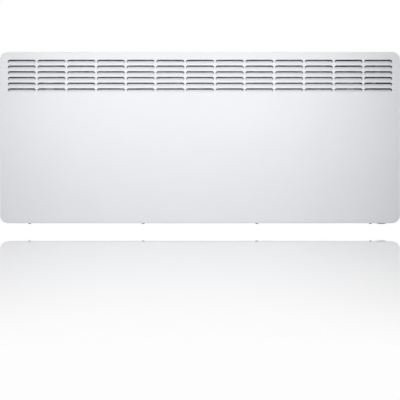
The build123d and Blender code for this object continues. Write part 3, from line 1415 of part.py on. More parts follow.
def display_cable():
    """From the control unit's side down to its socket on the power board."""
    edge = CONTROL_X + CONTROL_W / 2 - CONTROL_WALL
    x = TRAY_X + DISPLAY_PLUG_X
    y = POWER_FACE_Y - PLUG_Y
    socket = TRAY_Z + DISPLAY_PLUG_Z + PLUG_H / 2
    points = [(edge, CABLE_Y, CABLE_Z), (x, CABLE_Y, CABLE_Z), (x, y, socket + 23), (x, y, socket)]
    return tube(points, CABLE_R, CABLE_BEND)


PARTS = {
    "bracket_rail": bracket_rail,
    "bracket_arm_left": lambda: bracket_arm(-1),
    "bracket_arm_right": lambda: bracket_arm(1),
    "bracket_rivets": bracket_rivets,
    "latch_left": lambda: latch(-1),
    "latch_right": lambda: latch(1),
    "front_panel": front_panel,
    "casing_wrap": casing_wrap,
    "back_plate": back_plate,
    "casing_rivets": casing_rivets,
    "casing_screws": casing_screws,
    "partition_left": partition_left,
    "partition_right": partition_right,
    "front_shield": front_shield,
    "rear_shield": rear_shield,
    "chamber_rivets": chamber_rivets,
    "element_tube": element_tube,
    "element_fins": element_fins,
    "element_ferrules": element_ferrules,
    "element_insulators": element_insulators,
    "element_terminals": element_terminals,
    "element_hangers": lambda: group(element_hanger(x) for x in HANGER_XS),
    "thermal_cutouts": lambda: group(thermal_cutout(z) for z in CUTOUT_ZS),
    "control_bezel": control_bezel,
    "control_housing": control_housing,
    "control_board": control_board,
    "board_screws": board_screws,
    "tact_switches": tact_switches,
    "button_power": lambda: button(BUTTON_XS[0]),
    "button_mode": lambda: button(BUTTON_XS[1]),
    "button_timer": lambda: button(BUTTON_XS[2]),
    "button_minus": lambda: button(BUTTON_XS[3]),
    "button_plus": lambda: button(BUTTON_XS[4]),
    "display_module": display_module,
    "display_glass": display_glass,
    "display_window": display_window,
    "rear_screws": rear_screws,
    "switch_frame": switch_frame,
    "switch_rocker": switch_rocker,
    "switch_terminals": switch_terminals,
    "power_tray": power_tray,
    "power_board": power_board,
    "power_relay": power_relay,
    "power_capacitor": power_capacitor,
    "supply_transformer": supply_transformer,
    "terminal_block": terminal_block,
    "terminal_screws": terminal_screws,
    "board_plugs": board_plugs,
    "sensor_clip": sensor_clip,
    "room_sensor": room_sensor,
    "cord_grommet": cord_grommet,
    "cord_clamp": cord_clamp,
    "earth_stud": earth_stud,
    "earth_lug": earth_lug,
    "earth_nut": earth_nut,
    "switch_wires": lambda: group([switch_wire(4, -1), switch_wire(5, 1)]),
    "element_wires": element_wires,
    "earth_wire": wire_earth,
    "sensor_lead": sensor_lead,
    "display_cable": display_cable,
}

os.makedirs("parts", exist_ok=True)
for name, make in PARTS.items():
    export_step(make(), f"parts/{name}.step")
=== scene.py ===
"""Looks of the wall panel convector heater: materials, small trim, marks, camera, light and floor.

Metres, +X right, +Z up, -Y towards the room. The wall is the plane y = 0.
"""

import json
import math

import bmesh
import bpy
from mathutils import Matrix, Vector

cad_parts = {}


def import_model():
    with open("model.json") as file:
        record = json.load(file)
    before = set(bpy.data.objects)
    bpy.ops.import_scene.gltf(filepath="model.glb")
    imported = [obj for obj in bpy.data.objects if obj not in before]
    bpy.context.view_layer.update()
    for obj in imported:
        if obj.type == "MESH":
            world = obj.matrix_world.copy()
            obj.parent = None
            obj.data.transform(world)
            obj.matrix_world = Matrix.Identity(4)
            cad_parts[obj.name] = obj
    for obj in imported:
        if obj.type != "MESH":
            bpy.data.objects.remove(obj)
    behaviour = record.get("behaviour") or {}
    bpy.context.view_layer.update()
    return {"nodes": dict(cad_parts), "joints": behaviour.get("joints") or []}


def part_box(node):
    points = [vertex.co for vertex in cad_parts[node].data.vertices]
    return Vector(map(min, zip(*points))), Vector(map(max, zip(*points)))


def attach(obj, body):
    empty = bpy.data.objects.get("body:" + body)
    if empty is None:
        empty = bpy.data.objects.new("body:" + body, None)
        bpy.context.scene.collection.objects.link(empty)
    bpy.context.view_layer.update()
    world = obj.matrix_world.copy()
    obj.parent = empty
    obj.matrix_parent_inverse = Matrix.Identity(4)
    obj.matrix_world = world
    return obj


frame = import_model()
NODES = frame["nodes"]
MM = 0.001
RIGHT = (1, 0, 0)
BACK = (0, 1, 0)
FRONT = (0, -1, 0)
UP = (0, 0, 1)
WHITE = (1, 1, 1, 1)

# The range that most of a noise's values lie in
NOISE_LOW = 0.3
NOISE_HIGH = 0.7


# Node trees


class Look:
    """A material under construction: short calls that add and join shader nodes.

    Sizes and distances are in metres.
    """

    def __init__(self, name, colour, roughness, metallic=0.0):
        self.material = bpy.data.materials.new(name)
        self.material.use_nodes = True
        self.tree = self.material.node_tree
        self.tree.nodes.clear()
        self.shader = self.add("BsdfPrincipled")
        output = self.add("OutputMaterial")
        self.join(self.shader.outputs["BSDF"], output.inputs["Surface"])
        self.set("Base Color", (*colour, 1.0))
        self.set("Roughness", roughness)
        self.set("Metallic", metallic)
        self.place = self.add("TexCoord").outputs["Object"]
        self.height = None

    def add(self, kind, **settings):
        """A new node with its settings."""
        node = self.tree.nodes.new("ShaderNode" + kind)
        for key, value in settings.items():
            setattr(node, key, value)
        return node

    def join(self, source, target):
        self.tree.links.new(source, target)

    def set(self, socket, value):
        self.shader.inputs[socket].default_value = value

    def stretched(self, scale):
        """The surface's place, multiplied by a scale for each axis."""
        mapping = self.add("Mapping")
        mapping.inputs["Scale"].default_value = scale
        self.join(self.place, mapping.inputs["Vector"])
        return mapping.outputs["Vector"]

    def noise(self, size, detail=3.0, stretch=(1.0, 1.0, 1.0), roughness=0.5):
        """Noise with grains about `size` across, drawn out along an axis whose stretch is below 1."""
        node = self.add("TexNoise")
        node.inputs["Scale"].default_value = 1.0
        node.inputs["Detail"].default_value = detail
        node.inputs["Roughness"].default_value = roughness
        self.join(self.stretched([s / size for s in stretch]), node.inputs["Vector"])
        return node.outputs["Fac"]

    def cells(self, size):
        """Cells about `size` across, each with a colour of its own."""
        node = self.add("TexVoronoi")
        node.inputs["Scale"].default_value = 1.0
        self.join(self.stretched([1.0 / size] * 3), node.inputs["Vector"])
        return node

    def remap(self, value, low, high, from_low=NOISE_LOW, from_high=NOISE_HIGH):
        """The value's own range carried over to low and high."""
        node = self.add("MapRange")
        for socket, number in (
            ("From Min", from_low),
            ("From Max", from_high),
            ("To Min", low),
            ("To Max", high),
        ):
            node.inputs[socket].default_value = number
        self.join(value, node.inputs["Value"])
        return node.outputs["Result"]

    def colours(self, value, *stops):
        """A colour ramp: stops are (position, (r, g, b))."""
        ramp = self.add("ValToRGB")
        elements = ramp.color_ramp.elements
        while len(elements) < len(stops):
            elements.new(0.5)
        for element, (position, colour) in zip(elements, stops):
            element.position = position
            element.color = (*colour, 1.0)
        self.join(value, ramp.inputs["Fac"])
        return ramp.outputs["Color"]

    def tint(self, colour):
        self.join(colour, self.shader.inputs["Base Color"])

    def rough(self, value):
        self.join(value, self.shader.inputs["Roughness"])

    def bump(self, value, distance, strength):
        """Adds a layer of relief `distance` high under the layers added later."""
        node = self.add("Bump")
        node.inputs["Distance"].default_value = distance
        node.inputs["Strength"].default_value = strength
        self.join(value, node.inputs["Height"])
        if self.height is not None:
            self.join(self.height, node.inputs["Normal"])
        self.height = node.outputs["Normal"]
        self.join(self.height, self.shader.inputs["Normal"])


def shade(colour, factor):
    """The colour made darker or lighter, up to white."""
    return tuple(min(1.0, channel * factor) for channel in colour)


def spread(colour, amount):
    """Three ramp stops round a colour, from a little darker to a little lighter."""
    dark = shade(colour, 1 - amount)
    light = shade(colour, 1 + amount)
    return (NOISE_LOW, dark), ((NOISE_LOW + NOISE_HIGH) / 2, colour), (NOISE_HIGH, light)


# Materials, one for each of the record's slots


def white_coat():
    """Fine-textured white powder coat: orange peel with a slow drift in gloss."""
    white = (0.893, 0.901, 0.928)
    look = Look("white_powder_coat", white, roughness=0.42)
    look.tint(look.colours(look.noise(0.09, detail=2.0), *spread(white, 0.006)))
    look.rough(look.remap(look.noise(0.02), low=0.38, high=0.46))
    look.bump(look.noise(0.0016, detail=2.0), distance=0.00003, strength=0.5)
    return look


def galvanised():
    """Hot-dip zinc: flat spangles of differing grey with soft edges."""
    dark = (0.25, 0.263, 0.276)
    grey = (0.34, 0.354, 0.364)
    light = (0.43, 0.44, 0.445)
    look = Look("galvanised_steel", (0.4, 0.41, 0.42), roughness=0.45, metallic=0.9)
    spangle = look.cells(0.007)
    parts = look.add("SeparateColor")
    look.join(spangle.outputs["Color"], parts.inputs["Color"])
    look.tint(look.colours(parts.outputs["Red"], (0.0, dark), (0.5, grey), (1.0, light)))
    look.rough(look.remap(parts.outputs["Green"], low=0.4, high=0.6, from_low=0.0, from_high=1.0))
    look.bump(look.noise(0.004, detail=4.0), distance=0.00004, strength=0.4)
    look.bump(spangle.outputs["Distance"], distance=0.00005, strength=0.25)
    return look


def zinc_plated():
    """Bright electroplated zinc: a faint blue and straw cast over rolled sheet."""
    blue = (0.6, 0.64, 0.7)
    grey = (0.68, 0.69, 0.69)
    straw = (0.72, 0.69, 0.6)
    look = Look("zinc_plate", (0.66, 0.67, 0.69), roughness=0.3, metallic=1.0)
    cast = look.noise(0.03, detail=2.0)
    look.tint(look.colours(cast, (0.3, blue), (0.55, grey), (0.75, straw)))
    rolled = look.noise(0.006, detail=4.0, stretch=(0.15, 1, 1))
    look.rough(look.remap(rolled, low=0.22, high=0.38))
    look.bump(look.noise(0.0012, stretch=(0.1, 1, 1)), distance=0.00001, strength=0.5)
    return look


def bright_aluminium():
    """Mill-finish sheet with fine rolling lines along X."""
    bright = (0.82, 0.825, 0.835)
    look = Look("bright_aluminium", (0.84, 0.84, 0.85), roughness=0.25, metallic=1.0)
    lines = look.noise(0.0009, stretch=(0.02, 1, 1))
    look.tint(look.colours(look.noise(0.05), *spread(bright, 0.03)))
    look.rough(look.remap(lines, low=0.18, high=0.34))
    look.bump(lines, distance=0.00001, strength=0.6)
    return look


def fin_aluminium():
    """Pressed fins: dull sheet, straw-coloured near the hot tube."""
    dull = (0.7, 0.7, 0.7)
    bright = (0.79, 0.79, 0.79)
    straw = (0.8, 0.77, 0.7)
    look = Look("fin_aluminium", (0.76, 0.765, 0.77), roughness=0.4, metallic=1.0)
    look.tint(look.colours(look.noise(0.018), (0.35, dull), (0.6, bright), (0.8, straw)))
    look.rough(look.remap(look.noise(0.003, detail=4.0), low=0.32, high=0.5))
    look.bump(look.noise(0.0015), distance=0.00002, strength=0.5)
    return look


def stainless():
    """The heated sheath: straw and blue heat tints in bands along the tube."""
    grey = (0.5, 0.5, 0.5)
    straw = (0.56, 0.48, 0.36)
    blue = (0.36, 0.36, 0.44)
    look = Look("heat_tinted_stainless", (0.55, 0.5, 0.42), roughness=0.35, metallic=1.0)
    bands = look.noise(0.05, stretch=(1, 0.2, 0.2))
    look.tint(look.colours(bands, (0.3, grey), (0.5, straw), (0.7, blue)))
    look.rough(look.remap(look.noise(0.002), low=0.28, high=0.45))
    look.bump(look.noise(0.0008, stretch=(0.1, 1, 1)), distance=0.00001, strength=0.5)
    return look


def black_steel():
    """Blackened screws: oil-black oxide, greyer where a driver has rubbed."""
    oxide = (0.009, 0.009, 0.01)
    rubbed = (0.03, 0.03, 0.032)
    look = Look("black_oxide_steel", (0.012, 0.012, 0.013), roughness=0.4, metallic=0.4)
    look.tint(look.colours(look.noise(0.0015, detail=4.0), (0.4, oxide), (0.75, rubbed)))
    look.rough(look.remap(look.noise(0.0008), low=0.32, high=0.5))
    look.bump(look.noise(0.0005), distance=0.00002, strength=0.6)
    return look


def moulded(name, colour, roughness, grain=0.0007, depth=0.00002):
    """Injection-moulded plastic: a spark-eroded grain and slight sheen changes."""
    look = Look(name, colour, roughness)
    look.tint(look.colours(look.noise(0.02, detail=2.0), *spread(colour, 0.05)))
    look.rough(look.remap(look.noise(0.004), low=roughness - 0.06, high=roughness + 0.06))
    look.bump(look.noise(grain, detail=2.0), distance=depth, strength=0.6)
    return look


def smooth_moulded(name, colour, roughness):
    """The same with a finer, shallower grain."""
    return moulded(name, colour, roughness, grain=0.0004, depth=0.00001)


def ceramic():
    """Unglazed steatite beads with small brown specks."""
    speck = (0.5, 0.46, 0.38)
    cream = (0.78, 0.75, 0.68)
    pale = (0.83, 0.8, 0.73)
    look = Look("steatite", (0.8, 0.77, 0.69), roughness=0.4)
    mottle = look.noise(0.0006, detail=2.0)
    look.tint(look.colours(mottle, (0.28, speck), (0.36, cream), (0.7, pale)))
    look.rough(look.remap(look.noise(0.002), low=0.3, high=0.5))
    look.bump(look.noise(0.0008), distance=0.00002, strength=0.5)
    return look


def phenolic():
    """Filled brown moulding compound, mottled."""
    dark = (0.025, 0.015, 0.01)
    light = (0.085, 0.05, 0.03)
    look = Look("phenolic", (0.05, 0.03, 0.02), roughness=0.35)
    mottle = look.noise(0.0014, detail=4.0, roughness=0.7)
    look.tint(look.colours(mottle, (0.35, dark), (0.65, light)))
    look.rough(look.remap(look.noise(0.003), low=0.28, high=0.42))
    look.bump(look.noise(0.0006, detail=2.0), distance=0.00001, strength=0.5)
    return look


def pcb_green():
    """Green solder mask over copper: lighter runs of track between square islands."""
    look = Look("solder_mask", (0.008, 0.065, 0.026), roughness=0.25)
    tracks = look.add("TexBrick", offset=0.35, squash=0.6, squash_frequency=3)
    tracks.inputs["Color1"].default_value = (0.006, 0.053, 0.021, 1)
    tracks.inputs["Color2"].default_value = (0.009, 0.075, 0.03, 1)
    tracks.inputs["Mortar"].default_value = (0.022, 0.12, 0.045, 1)
    tracks.inputs["Scale"].default_value = 140.0
    tracks.inputs["Mortar Size"].default_value = 0.03
    look.join(look.place, tracks.inputs["Vector"])
    look.tint(tracks.outputs["Color"])
    look.rough(look.remap(look.noise(0.004), low=0.2, high=0.32))
    look.bump(tracks.outputs["Fac"], distance=0.00003, strength=0.5)
    return look


def lcd_glass():
    """The liquid crystal cell: pale grey-green with a faint film pattern."""
    green = (0.3, 0.36, 0.3)
    look = Look("liquid_crystal", green, roughness=0.12)
    look.tint(look.colours(look.noise(0.01, detail=2.0), *spread(green, 0.04)))
    look.rough(look.remap(look.noise(0.002), low=0.08, high=0.16))
    look.bump(look.noise(0.001, detail=1.0), distance=0.000005, strength=0.4)
    return look


def clear_window():
    """The display's lens: thin clear acrylic with hair scratches."""
    look = Look("clear_acrylic", (0.8, 0.83, 0.83), roughness=0.05)
    look.set("Alpha", 0.08)
    look.set("IOR", 1.49)
    scratches = look.noise(0.0006, detail=2.0, stretch=(0.05, 1, 1))
    look.rough(look.remap(scratches, low=0.01, high=0.08, from_low=0.5, from_high=0.75))
    look.bump(look.noise(0.02, detail=1.0), distance=0.00002, strength=0.3)
    return look


def transformer():
    """Wound transformer: turns of yellow tape over the bobbin, with painted shade between the turns and
    a painted highlight on their crests.
    """
    shadow = (0.5, 0.32, 0.04)
    tape = (0.66, 0.46, 0.07)
    lit_crest = (0.72, 0.54, 0.12)
    look = Look("transformer_tape", (0.62, 0.42, 0.06), roughness=0.35)
    turns = look.noise(0.0022, detail=2.0, stretch=(0.02, 0.02, 1))
    # The ramp paints shade into the grooves between turns and a highlight on the crests, following the
    # same noise as the bump
    look.tint(look.colours(turns, (0.3, shadow), (0.5, tape), (0.7, lit_crest)))
    look.rough(look.remap(turns, low=0.25, high=0.45))
    look.bump(turns, distance=0.00005, strength=0.6)
    return look


def brass():
    """Turned brass, unevenly tarnished."""
    tarnished = (0.66, 0.48, 0.22)
    yellow = (0.79, 0.61, 0.31)
    clean = (0.83, 0.68, 0.4)
    look = Look("brass", (0.78, 0.6, 0.3), roughness=0.3, metallic=1.0)
    tarnish = look.noise(0.004, detail=4.0)
    look.tint(look.colours(tarnish, (0.3, tarnished), (0.5, yellow), (0.75, clean)))
    look.rough(look.remap(look.noise(0.0015), low=0.22, high=0.4))
    look.bump(look.noise(0.0006), distance=0.00001, strength=0.5)
    return look


def insulation(name, colour):
    """Extruded insulation, slightly uneven, before its colour has a pattern."""
    look = Look(name, colour, roughness=0.38)
    look.rough(look.remap(look.noise(0.003), low=0.3, high=0.46))
    look.bump(look.noise(0.0008), distance=0.00001, strength=0.5)
    return look


def wire(name, colour):
    """Insulation of one colour."""
    look = insulation(name, colour)
    look.tint(look.colours(look.noise(0.012, detail=2.0), *spread(colour, 0.08)))
    return look


def earth_wire():
    """Green insulation with yellow stripes that run across the wire's length."""
    green = (0.03, 0.3, 0.06)
    yellow = (0.75, 0.62, 0.04)
    look = insulation("wire_green_yellow", green)
    stripes = look.add("TexWave", bands_direction="DIAGONAL")
    stripes.inputs["Scale"].default_value = 90.0
    stripes.inputs["Distortion"].default_value = 0.0
    look.join(look.place, stripes.inputs["Vector"])
    edges = (0.0, green), (0.58, green), (0.62, yellow), (1.0, yellow)
    look.tint(look.colours(stripes.outputs["Fac"], *edges))
    return look


LOOKS = {
    "white_coat": white_coat(),
    "galvanised": galvanised(),
    "zinc_plated": zinc_plated(),
    "bright_aluminium": bright_aluminium(),
    "fin_aluminium": fin_aluminium(),
    "stainless": stainless(),
    "black_steel": black_steel(),
    "black_plastic": moulded("black_nylon", (0.014, 0.014, 0.015), roughness=0.45),
    "ceramic": ceramic(),
    "phenolic": phenolic(),
    "pcb_green": pcb_green(),
    "grey_plastic": moulded("grey_nylon", (0.34, 0.34, 0.345), roughness=0.42),
    "button_plastic": moulded("button_grey", (0.3, 0.31, 0.32), roughness=0.38, grain=0.0004),
    "lcd_frame": moulded("white_nylon", (0.72, 0.72, 0.7), roughness=0.4, grain=0.0005),
    "lcd_glass": lcd_glass(),
    "clear_window": clear_window(),
    "rocker_plastic": smooth_moulded("rocker_black", (0.012, 0.012, 0.013), roughness=0.3),
    "relay_black": smooth_moulded("relay_case", (0.02, 0.02, 0.022), roughness=0.25),
    "film_grey": moulded("film_capacitor", (0.1, 0.105, 0.115), roughness=0.35, grain=0.0006),
    "transformer": transformer(),
    "brass": brass(),
    "wire_brown": wire("wire_brown", (0.12, 0.045, 0.02)),
    "wire_green": earth_wire(),
    "wire_black": wire("wire_black", (0.014, 0.014, 0.015)),
}


def dress_nodes():
    """Gives every CAD node the look of its record slot."""
    for node in NODES.values():
        for place in node.material_slots:
            place.material = LOOKS[place.material.name.split(".")[0]].material


# Mesh code for the trim pieces

SAME_PLACE = 1e-7


def disc(radius, steps):
    """A circle's points."""
    turn = [2 * math.pi * k / steps for k in range(steps)]
    return [(radius * math.cos(t), radius * math.sin(t)) for t in turn]


def bar(x0, x1, y0, y1):
    """A rectangle's corners."""
    return [(x0, y0), (x1, y0), (x1, y1), (x0, y1)]


def arc_band(inner, outer, start, end, steps=28):
    """A ring's part from angle start to end in degrees, as quads."""
    turn = [math.radians(start + (end - start) * k / steps) for k in range(steps + 1)]
    quads = []
    for a, b in zip(turn, turn[1:]):
        corners = ((inner, a), (outer, a), (outer, b), (inner, b))
        quads.append([(r * math.cos(t), r * math.sin(t)) for r, t in corners])
    return quads


def extruded(outlines, depth):
    """Prisms on the outlines, from height 0 to depth."""
    bm = bmesh.new()
    for outline in outlines:
        low = [bm.verts.new((x, y, 0.0)) for x, y in outline]
        high = [bm.verts.new((x, y, depth)) for x, y in outline]
        bm.faces.new(reversed(low))
        bm.faces.new(high)
        for k in range(len(low)):
            after = (k + 1) % len(low)
            bm.faces.new((low[k], low[after], high[after], high[k]))
    bmesh.ops.remove_doubles(bm, verts=bm.verts, dist=SAME_PLACE)
    return bm


def skin(bm, rings):
    """Faces between neighbouring rings of vertices, and over both ends."""
    steps = len(rings[0])
    for low, high in zip(rings, rings[1:]):
        for k in range(steps):
            after = (k + 1) % steps
            bm.faces.new((low[k], low[after], high[after], high[k]))
    bm.faces.new(reversed(rings[0]))
    bm.faces.new(rings[-1])


def turned(profile, steps=28):
    """A solid of revolution about Z: profile is (radius, height), from the foot up."""
    bm = bmesh.new()
    rings = []
    for radius, height in profile:
        rings.append([bm.verts.new((x, y, height)) for x, y in disc(radius, steps)])
    skin(bm, rings)
    return bm


def lofted(sections, steps=24):
    """A closed tube along Z through sections of (centre, half width, half thickness).

    Each section is a rounded square, between a circle and a box.
    """
    bm = bmesh.new()
    rings = []
    for (cx, cy, cz), wide, thin in sections:
        ring = []
        for x, y in disc(1.0, steps):
            square = max(abs(x), abs(y)) ** 0.5
            ring.append(bm.verts.new((cx + wide * x / square, cy + thin * y / square, cz)))
        rings.append(ring)
    skin(bm, rings)
    return bm


def frame_at(origin, right, up):
    """Local X along right, local Y along up, local Z out of their plane."""
    x = Vector(right).normalized()
    y = Vector(up).normalized()
    z = x.cross(y)
    turn = Matrix((x, y, z)).transposed().to_4x4()
    return Matrix.Translation(Vector(origin)) @ turn


def piece(name, meshes, look, body, bevel=0.0, smooth=False):
    """One object from (bmesh, matrix) pairs, in the row frame, riding on a body."""
    data = bpy.data.meshes.new(name)
    joined = bmesh.new()
    for bm, matrix in meshes:
        bm.transform(matrix)
        part = bpy.data.meshes.new("part")
        bm.to_mesh(part)
        bm.free()
        joined.from_mesh(part)
        bpy.data.meshes.remove(part)
    bmesh.ops.recalc_face_normals(joined, faces=joined.faces)
    for face in joined.faces:
        face.smooth = smooth
    joined.to_mesh(data)
    joined.free()
    made = bpy.data.objects.new(name, data)
    made.data.materials.append(look.material)
    bpy.context.scene.collection.objects.link(made)
    if bevel:
        edge = made.modifiers.new("edge", "BEVEL")
        edge.width = bevel
        edge.segments = 2
        edge.limit_method = "ANGLE"
    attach(made, body)


def middle(node):
    """The centre of a node's box."""
    low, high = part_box(node)
    return (low + high) / 2


# Marks on the controls

PRINT = 0.06 * MM
SUNK = 0.03 * MM
MARK_R = 2.3 * MM
MARK_LINE = 0.42 * MM
HALF_LINE = MARK_LINE / 2
POWER_ARC_START = 120
POWER_ARC_END = 420
POWER_BAR_FOOT = 0.3 * MM
POWER_BAR_PROUD = 0.5 * MM
MODE_HALVES = (1.1 * MM, 1.6 * MM, 2.1 * MM)
MODE_PITCH = 1.3 * MM
TIMER_LONG_HAND = 1.5 * MM
TIMER_SHORT_HAND = 1.2 * MM
SIGN_ARM = 1.8 * MM
SIGN_HALF_LINE = 0.3 * MM


def power_mark():
    """A ring open at the top with a bar in the gap."""
    ring = arc_band(MARK_R - MARK_LINE, MARK_R, POWER_ARC_START, POWER_ARC_END)
    return ring + [bar(-HALF_LINE, HALF_LINE, POWER_BAR_FOOT, MARK_R + POWER_BAR_PROUD)]


def mode_mark():
    """Three warm-air lines of growing length."""
    rows = []
    for k, half in enumerate(MODE_HALVES):
        y = (k - 1) * MODE_PITCH
        rows.append(bar(-half, half, y - HALF_LINE, y + HALF_LINE))
    return rows


def timer_mark():
    """A clock face with two hands."""
    ring = arc_band(MARK_R - MARK_LINE, MARK_R, 0, 360)
    long_hand = bar(-HALF_LINE, HALF_LINE, -HALF_LINE, TIMER_LONG_HAND)
    short_hand = bar(HALF_LINE, TIMER_SHORT_HAND, -HALF_LINE, HALF_LINE)
    return ring + [long_hand, short_hand]


def minus_mark():
    return [bar(-SIGN_ARM, SIGN_ARM, -SIGN_HALF_LINE, SIGN_HALF_LINE)]


def plus_mark():
    line = SIGN_HALF_LINE
    upper = bar(-line, line, line, SIGN_ARM)
    lower = bar(-line, line, -SIGN_ARM, -line)
    return minus_mark() + [upper, lower]


MARKS = {
    "power": power_mark,
    "mode": mode_mark,
    "timer": timer_mark,
    "minus": minus_mark,
    "plus": plus_mark,
}


def button_marks(ink):
    """Each button's mark, printed on its top."""
    for key, shapes in MARKS.items():
        node = "button_" + key
        centre = middle(node)
        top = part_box(node)[1].z - PRINT + SUNK
        spot = frame_at((centre.x, centre.y, top), RIGHT, BACK)
        piece("mark_" + key, [(extruded(shapes(), PRINT), spot)], ink, node)


ROCKER_FACE = 4.2 * MM
ROCKER_CHEEK = 5.65 * MM
ROCKER_REACH = 13.5 * MM
ROCKER_SPLAY = math.atan2(ROCKER_CHEEK - ROCKER_FACE, ROCKER_REACH)
ROCKER_REST = math.radians(6.0)
ROCKER_MARK_Y = 6.0 * MM
ROCKER_BAR_HALF_W = 0.4 * MM
ROCKER_BAR_HALF_L = 2.4 * MM
ROCKER_RING_R = 2.4 * MM
ROCKER_RING_LINE = 0.7 * MM


def joint_place(name):
    """A joint's place at rest, as the frame gives it."""
    joint = next(row for row in frame["joints"] if row["name"] == name)
    return Vector(joint["pos_m"])


def rocker_marks(ink):
    """A bar and a ring on the rocker's two faces, which look down."""
    line = [bar(-ROCKER_BAR_HALF_W, ROCKER_BAR_HALF_W, -ROCKER_BAR_HALF_L, ROCKER_BAR_HALF_L)]
    ring = arc_band(ROCKER_RING_R - ROCKER_RING_LINE, ROCKER_RING_R, 0, 360)
    rest = Matrix.Translation(joint_place("power_rocker")) @ Matrix.Rotation(ROCKER_REST, 4, "X")
    drop = ROCKER_FACE + ROCKER_MARK_Y * math.tan(ROCKER_SPLAY) + PRINT - SUNK
    for name, side, outlines in (("rocker_mark_on", -1, line), ("rocker_mark_off", 1, ring)):
        face = Matrix.Translation(Vector((0, side * ROCKER_MARK_Y, -drop)))
        tilt = Matrix.Rotation(-side * ROCKER_SPLAY, 4, "X")
        piece(name, [(extruded(outlines, PRINT), rest @ face @ tilt)], ink, "rocker")


DIGIT_W = 5.0 * MM
DIGIT_H = 10.0 * MM
STROKE = 1.3 * MM
DIGIT_GAP = 2.8 * MM
DOT_R = STROKE * 0.6
DOT_STEPS = 12
SEGMENT_SPACE = 0.12
SEGMENTS = {"2": "abged", "1": "bc", "5": "afgcd"}
ALL_SEGMENTS = "abcdefg"
SET_TEMPERATURE = "21.5"
DIGITS = 3
GHOST_RISE = 0.01 * MM
DIGIT_RISE = 0.02 * MM


def segment(letter):
    """One lit bar of a seven-segment figure, mitred at both ends."""
    half = DIGIT_H / 2
    ends = {
        "a": ((0, DIGIT_H), (DIGIT_W, DIGIT_H)),
        "b": ((DIGIT_W, DIGIT_H), (DIGIT_W, half)),
        "c": ((DIGIT_W, half), (DIGIT_W, 0)),
        "d": ((0, 0), (DIGIT_W, 0)),
        "e": ((0, half), (0, 0)),
        "f": ((0, DIGIT_H), (0, half)),
        "g": ((0, half), (DIGIT_W, half)),
    }
    start, end = (Vector(point) for point in ends[letter])
    along = (end - start).normalized()
    across = Vector((-along.y, along.x)) * STROKE / 2
    tip = along * STROKE / 2
    start = start + along * STROKE * SEGMENT_SPACE
    end = end - along * STROKE * SEGMENT_SPACE
    near_side = (start, start + tip - across, end - tip - across)
    far_side = (end, end - tip + across, start + tip + across)
    return [tuple(point) for point in near_side + far_side]


def figures(text, ghost):
    """Outlines of a line of figures; a dot sits at the foot of the next gap."""
    outlines = []
    x = 0.0
    for letter in text:
        if letter == ".":
            outlines.append([(px + x - DIGIT_GAP / 2, py) for px, py in disc(DOT_R, DOT_STEPS)])
            continue
        lit = ALL_SEGMENTS if ghost else SEGMENTS[letter]
        for name in lit:
            outlines.append([(px + x, py) for px, py in segment(name)])
        x += DIGIT_W + DIGIT_GAP
    return outlines


def display_figures():
    """The set temperature, with the unlit segments just visible behind it."""
    width = DIGITS * DIGIT_W + (DIGITS - 1) * DIGIT_GAP
    centre = middle("display_window")
    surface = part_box("display_glass")[1].z
    origin = (centre.x - width / 2, centre.y - DIGIT_H / 2, surface - SUNK)
    dark = moulded("lit_segment", (0.02, 0.025, 0.02), roughness=0.3)
    faint = moulded("unlit_segment", (0.24, 0.29, 0.24), roughness=0.3)
    layers = (("display_ghosts", faint, True, GHOST_RISE), ("display_digits", dark, False, DIGIT_RISE))
    for name, look, ghost, rise in layers:
        shapes = extruded(figures(SET_TEMPERATURE, ghost), SUNK + rise)
        piece(name, [(shapes, frame_at(origin, RIGHT, BACK))], look, "heater")


# Small parts soldered to the power board: places are (x, z) in the part's frame

ROWS = [(97.0 - 6.0 * k) * MM for k in range(4)]
RESISTORS = [(478.0 * MM, z) for z in ROWS] + [(447.0 * MM, 68.0 * MM)]
DIODES = [(492.0 * MM, z) for z in ROWS]
RESISTOR_L = 6.5 * MM
RESISTOR_R = 1.2 * MM
DIODE_L = 4.6 * MM
DIODE_R = 1.15 * MM
AXIAL_LIFT = 1.5 * MM

# Along an axial part: the end's slope, the raised end band, and the slope to its waist
AXIAL_SLOPE = 0.06
AXIAL_BAND_END = 0.2
AXIAL_WAIST = 0.26
AXIAL_WAIST_R = 0.82
AXIAL_TIP_R = 0.8

LEAD_R = 0.35 * MM
LEAD_L = 1.8 * MM
LEAD_BEND = 1.6 * MM
LEAD_ROOT = 0.3 * MM
LEAD_STEPS = 12

# Turned profiles of (radius, height) in millimetres
CAN_PROFILE = [(3.6, 0), (4.0, 0.3), (4.0, 1.2), (3.75, 1.6), (4.0, 2.0), (4.0, 10.4), (3.7, 10.9)]
LID_PROFILE = [(3.5, 10.85), (3.4, 11.0), (0.3, 11.0)]
DISC_PROFILE = [(2.6, 0), (3.6, 0.35), (3.9, 1.2), (3.9, 2.2), (3.6, 3.05), (2.6, 3.4)]
CAN_PLACE = (482.0 * MM, 138.0 * MM)
DISC_PLACE = (452.0 * MM, 113.0 * MM)
DISC_LIFT = 4.6 * MM

CHIP_PLACE = (486.0 * MM, 66.0 * MM)
CHIP_HALF_L = 5.0 * MM
CHIP_HALF_W = 3.2 * MM
CHIP_T = 2.4 * MM
CHIP_LIFT = 0.6 * MM
CHIP_EDGE = 0.25 * MM
PIN_ROW = 4
PIN_PITCH = 2.54 * MM
PIN_REACH = 3.6 * MM
PIN_HALF_W = 0.25 * MM
PIN_L = 0.5 * MM
PIN_H = 1.8 * MM


def board_face():
    """The place of the board's front along Y."""
    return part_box("power_board")[0].y


def board_spot(place, lift=0.0):
    """Local Z stands out of the board's face, towards the room."""
    x, z = place
    return frame_at((x, board_face() - lift, z), RIGHT, UP)


def lying_spot(x, z, lift):
    """Local Z runs to the right, `lift` in front of the board's face."""
    return frame_at((x, board_face() - lift, z), UP, FRONT)


def in_mm(profile):
    return [(radius * MM, height * MM) for radius, height in profile]


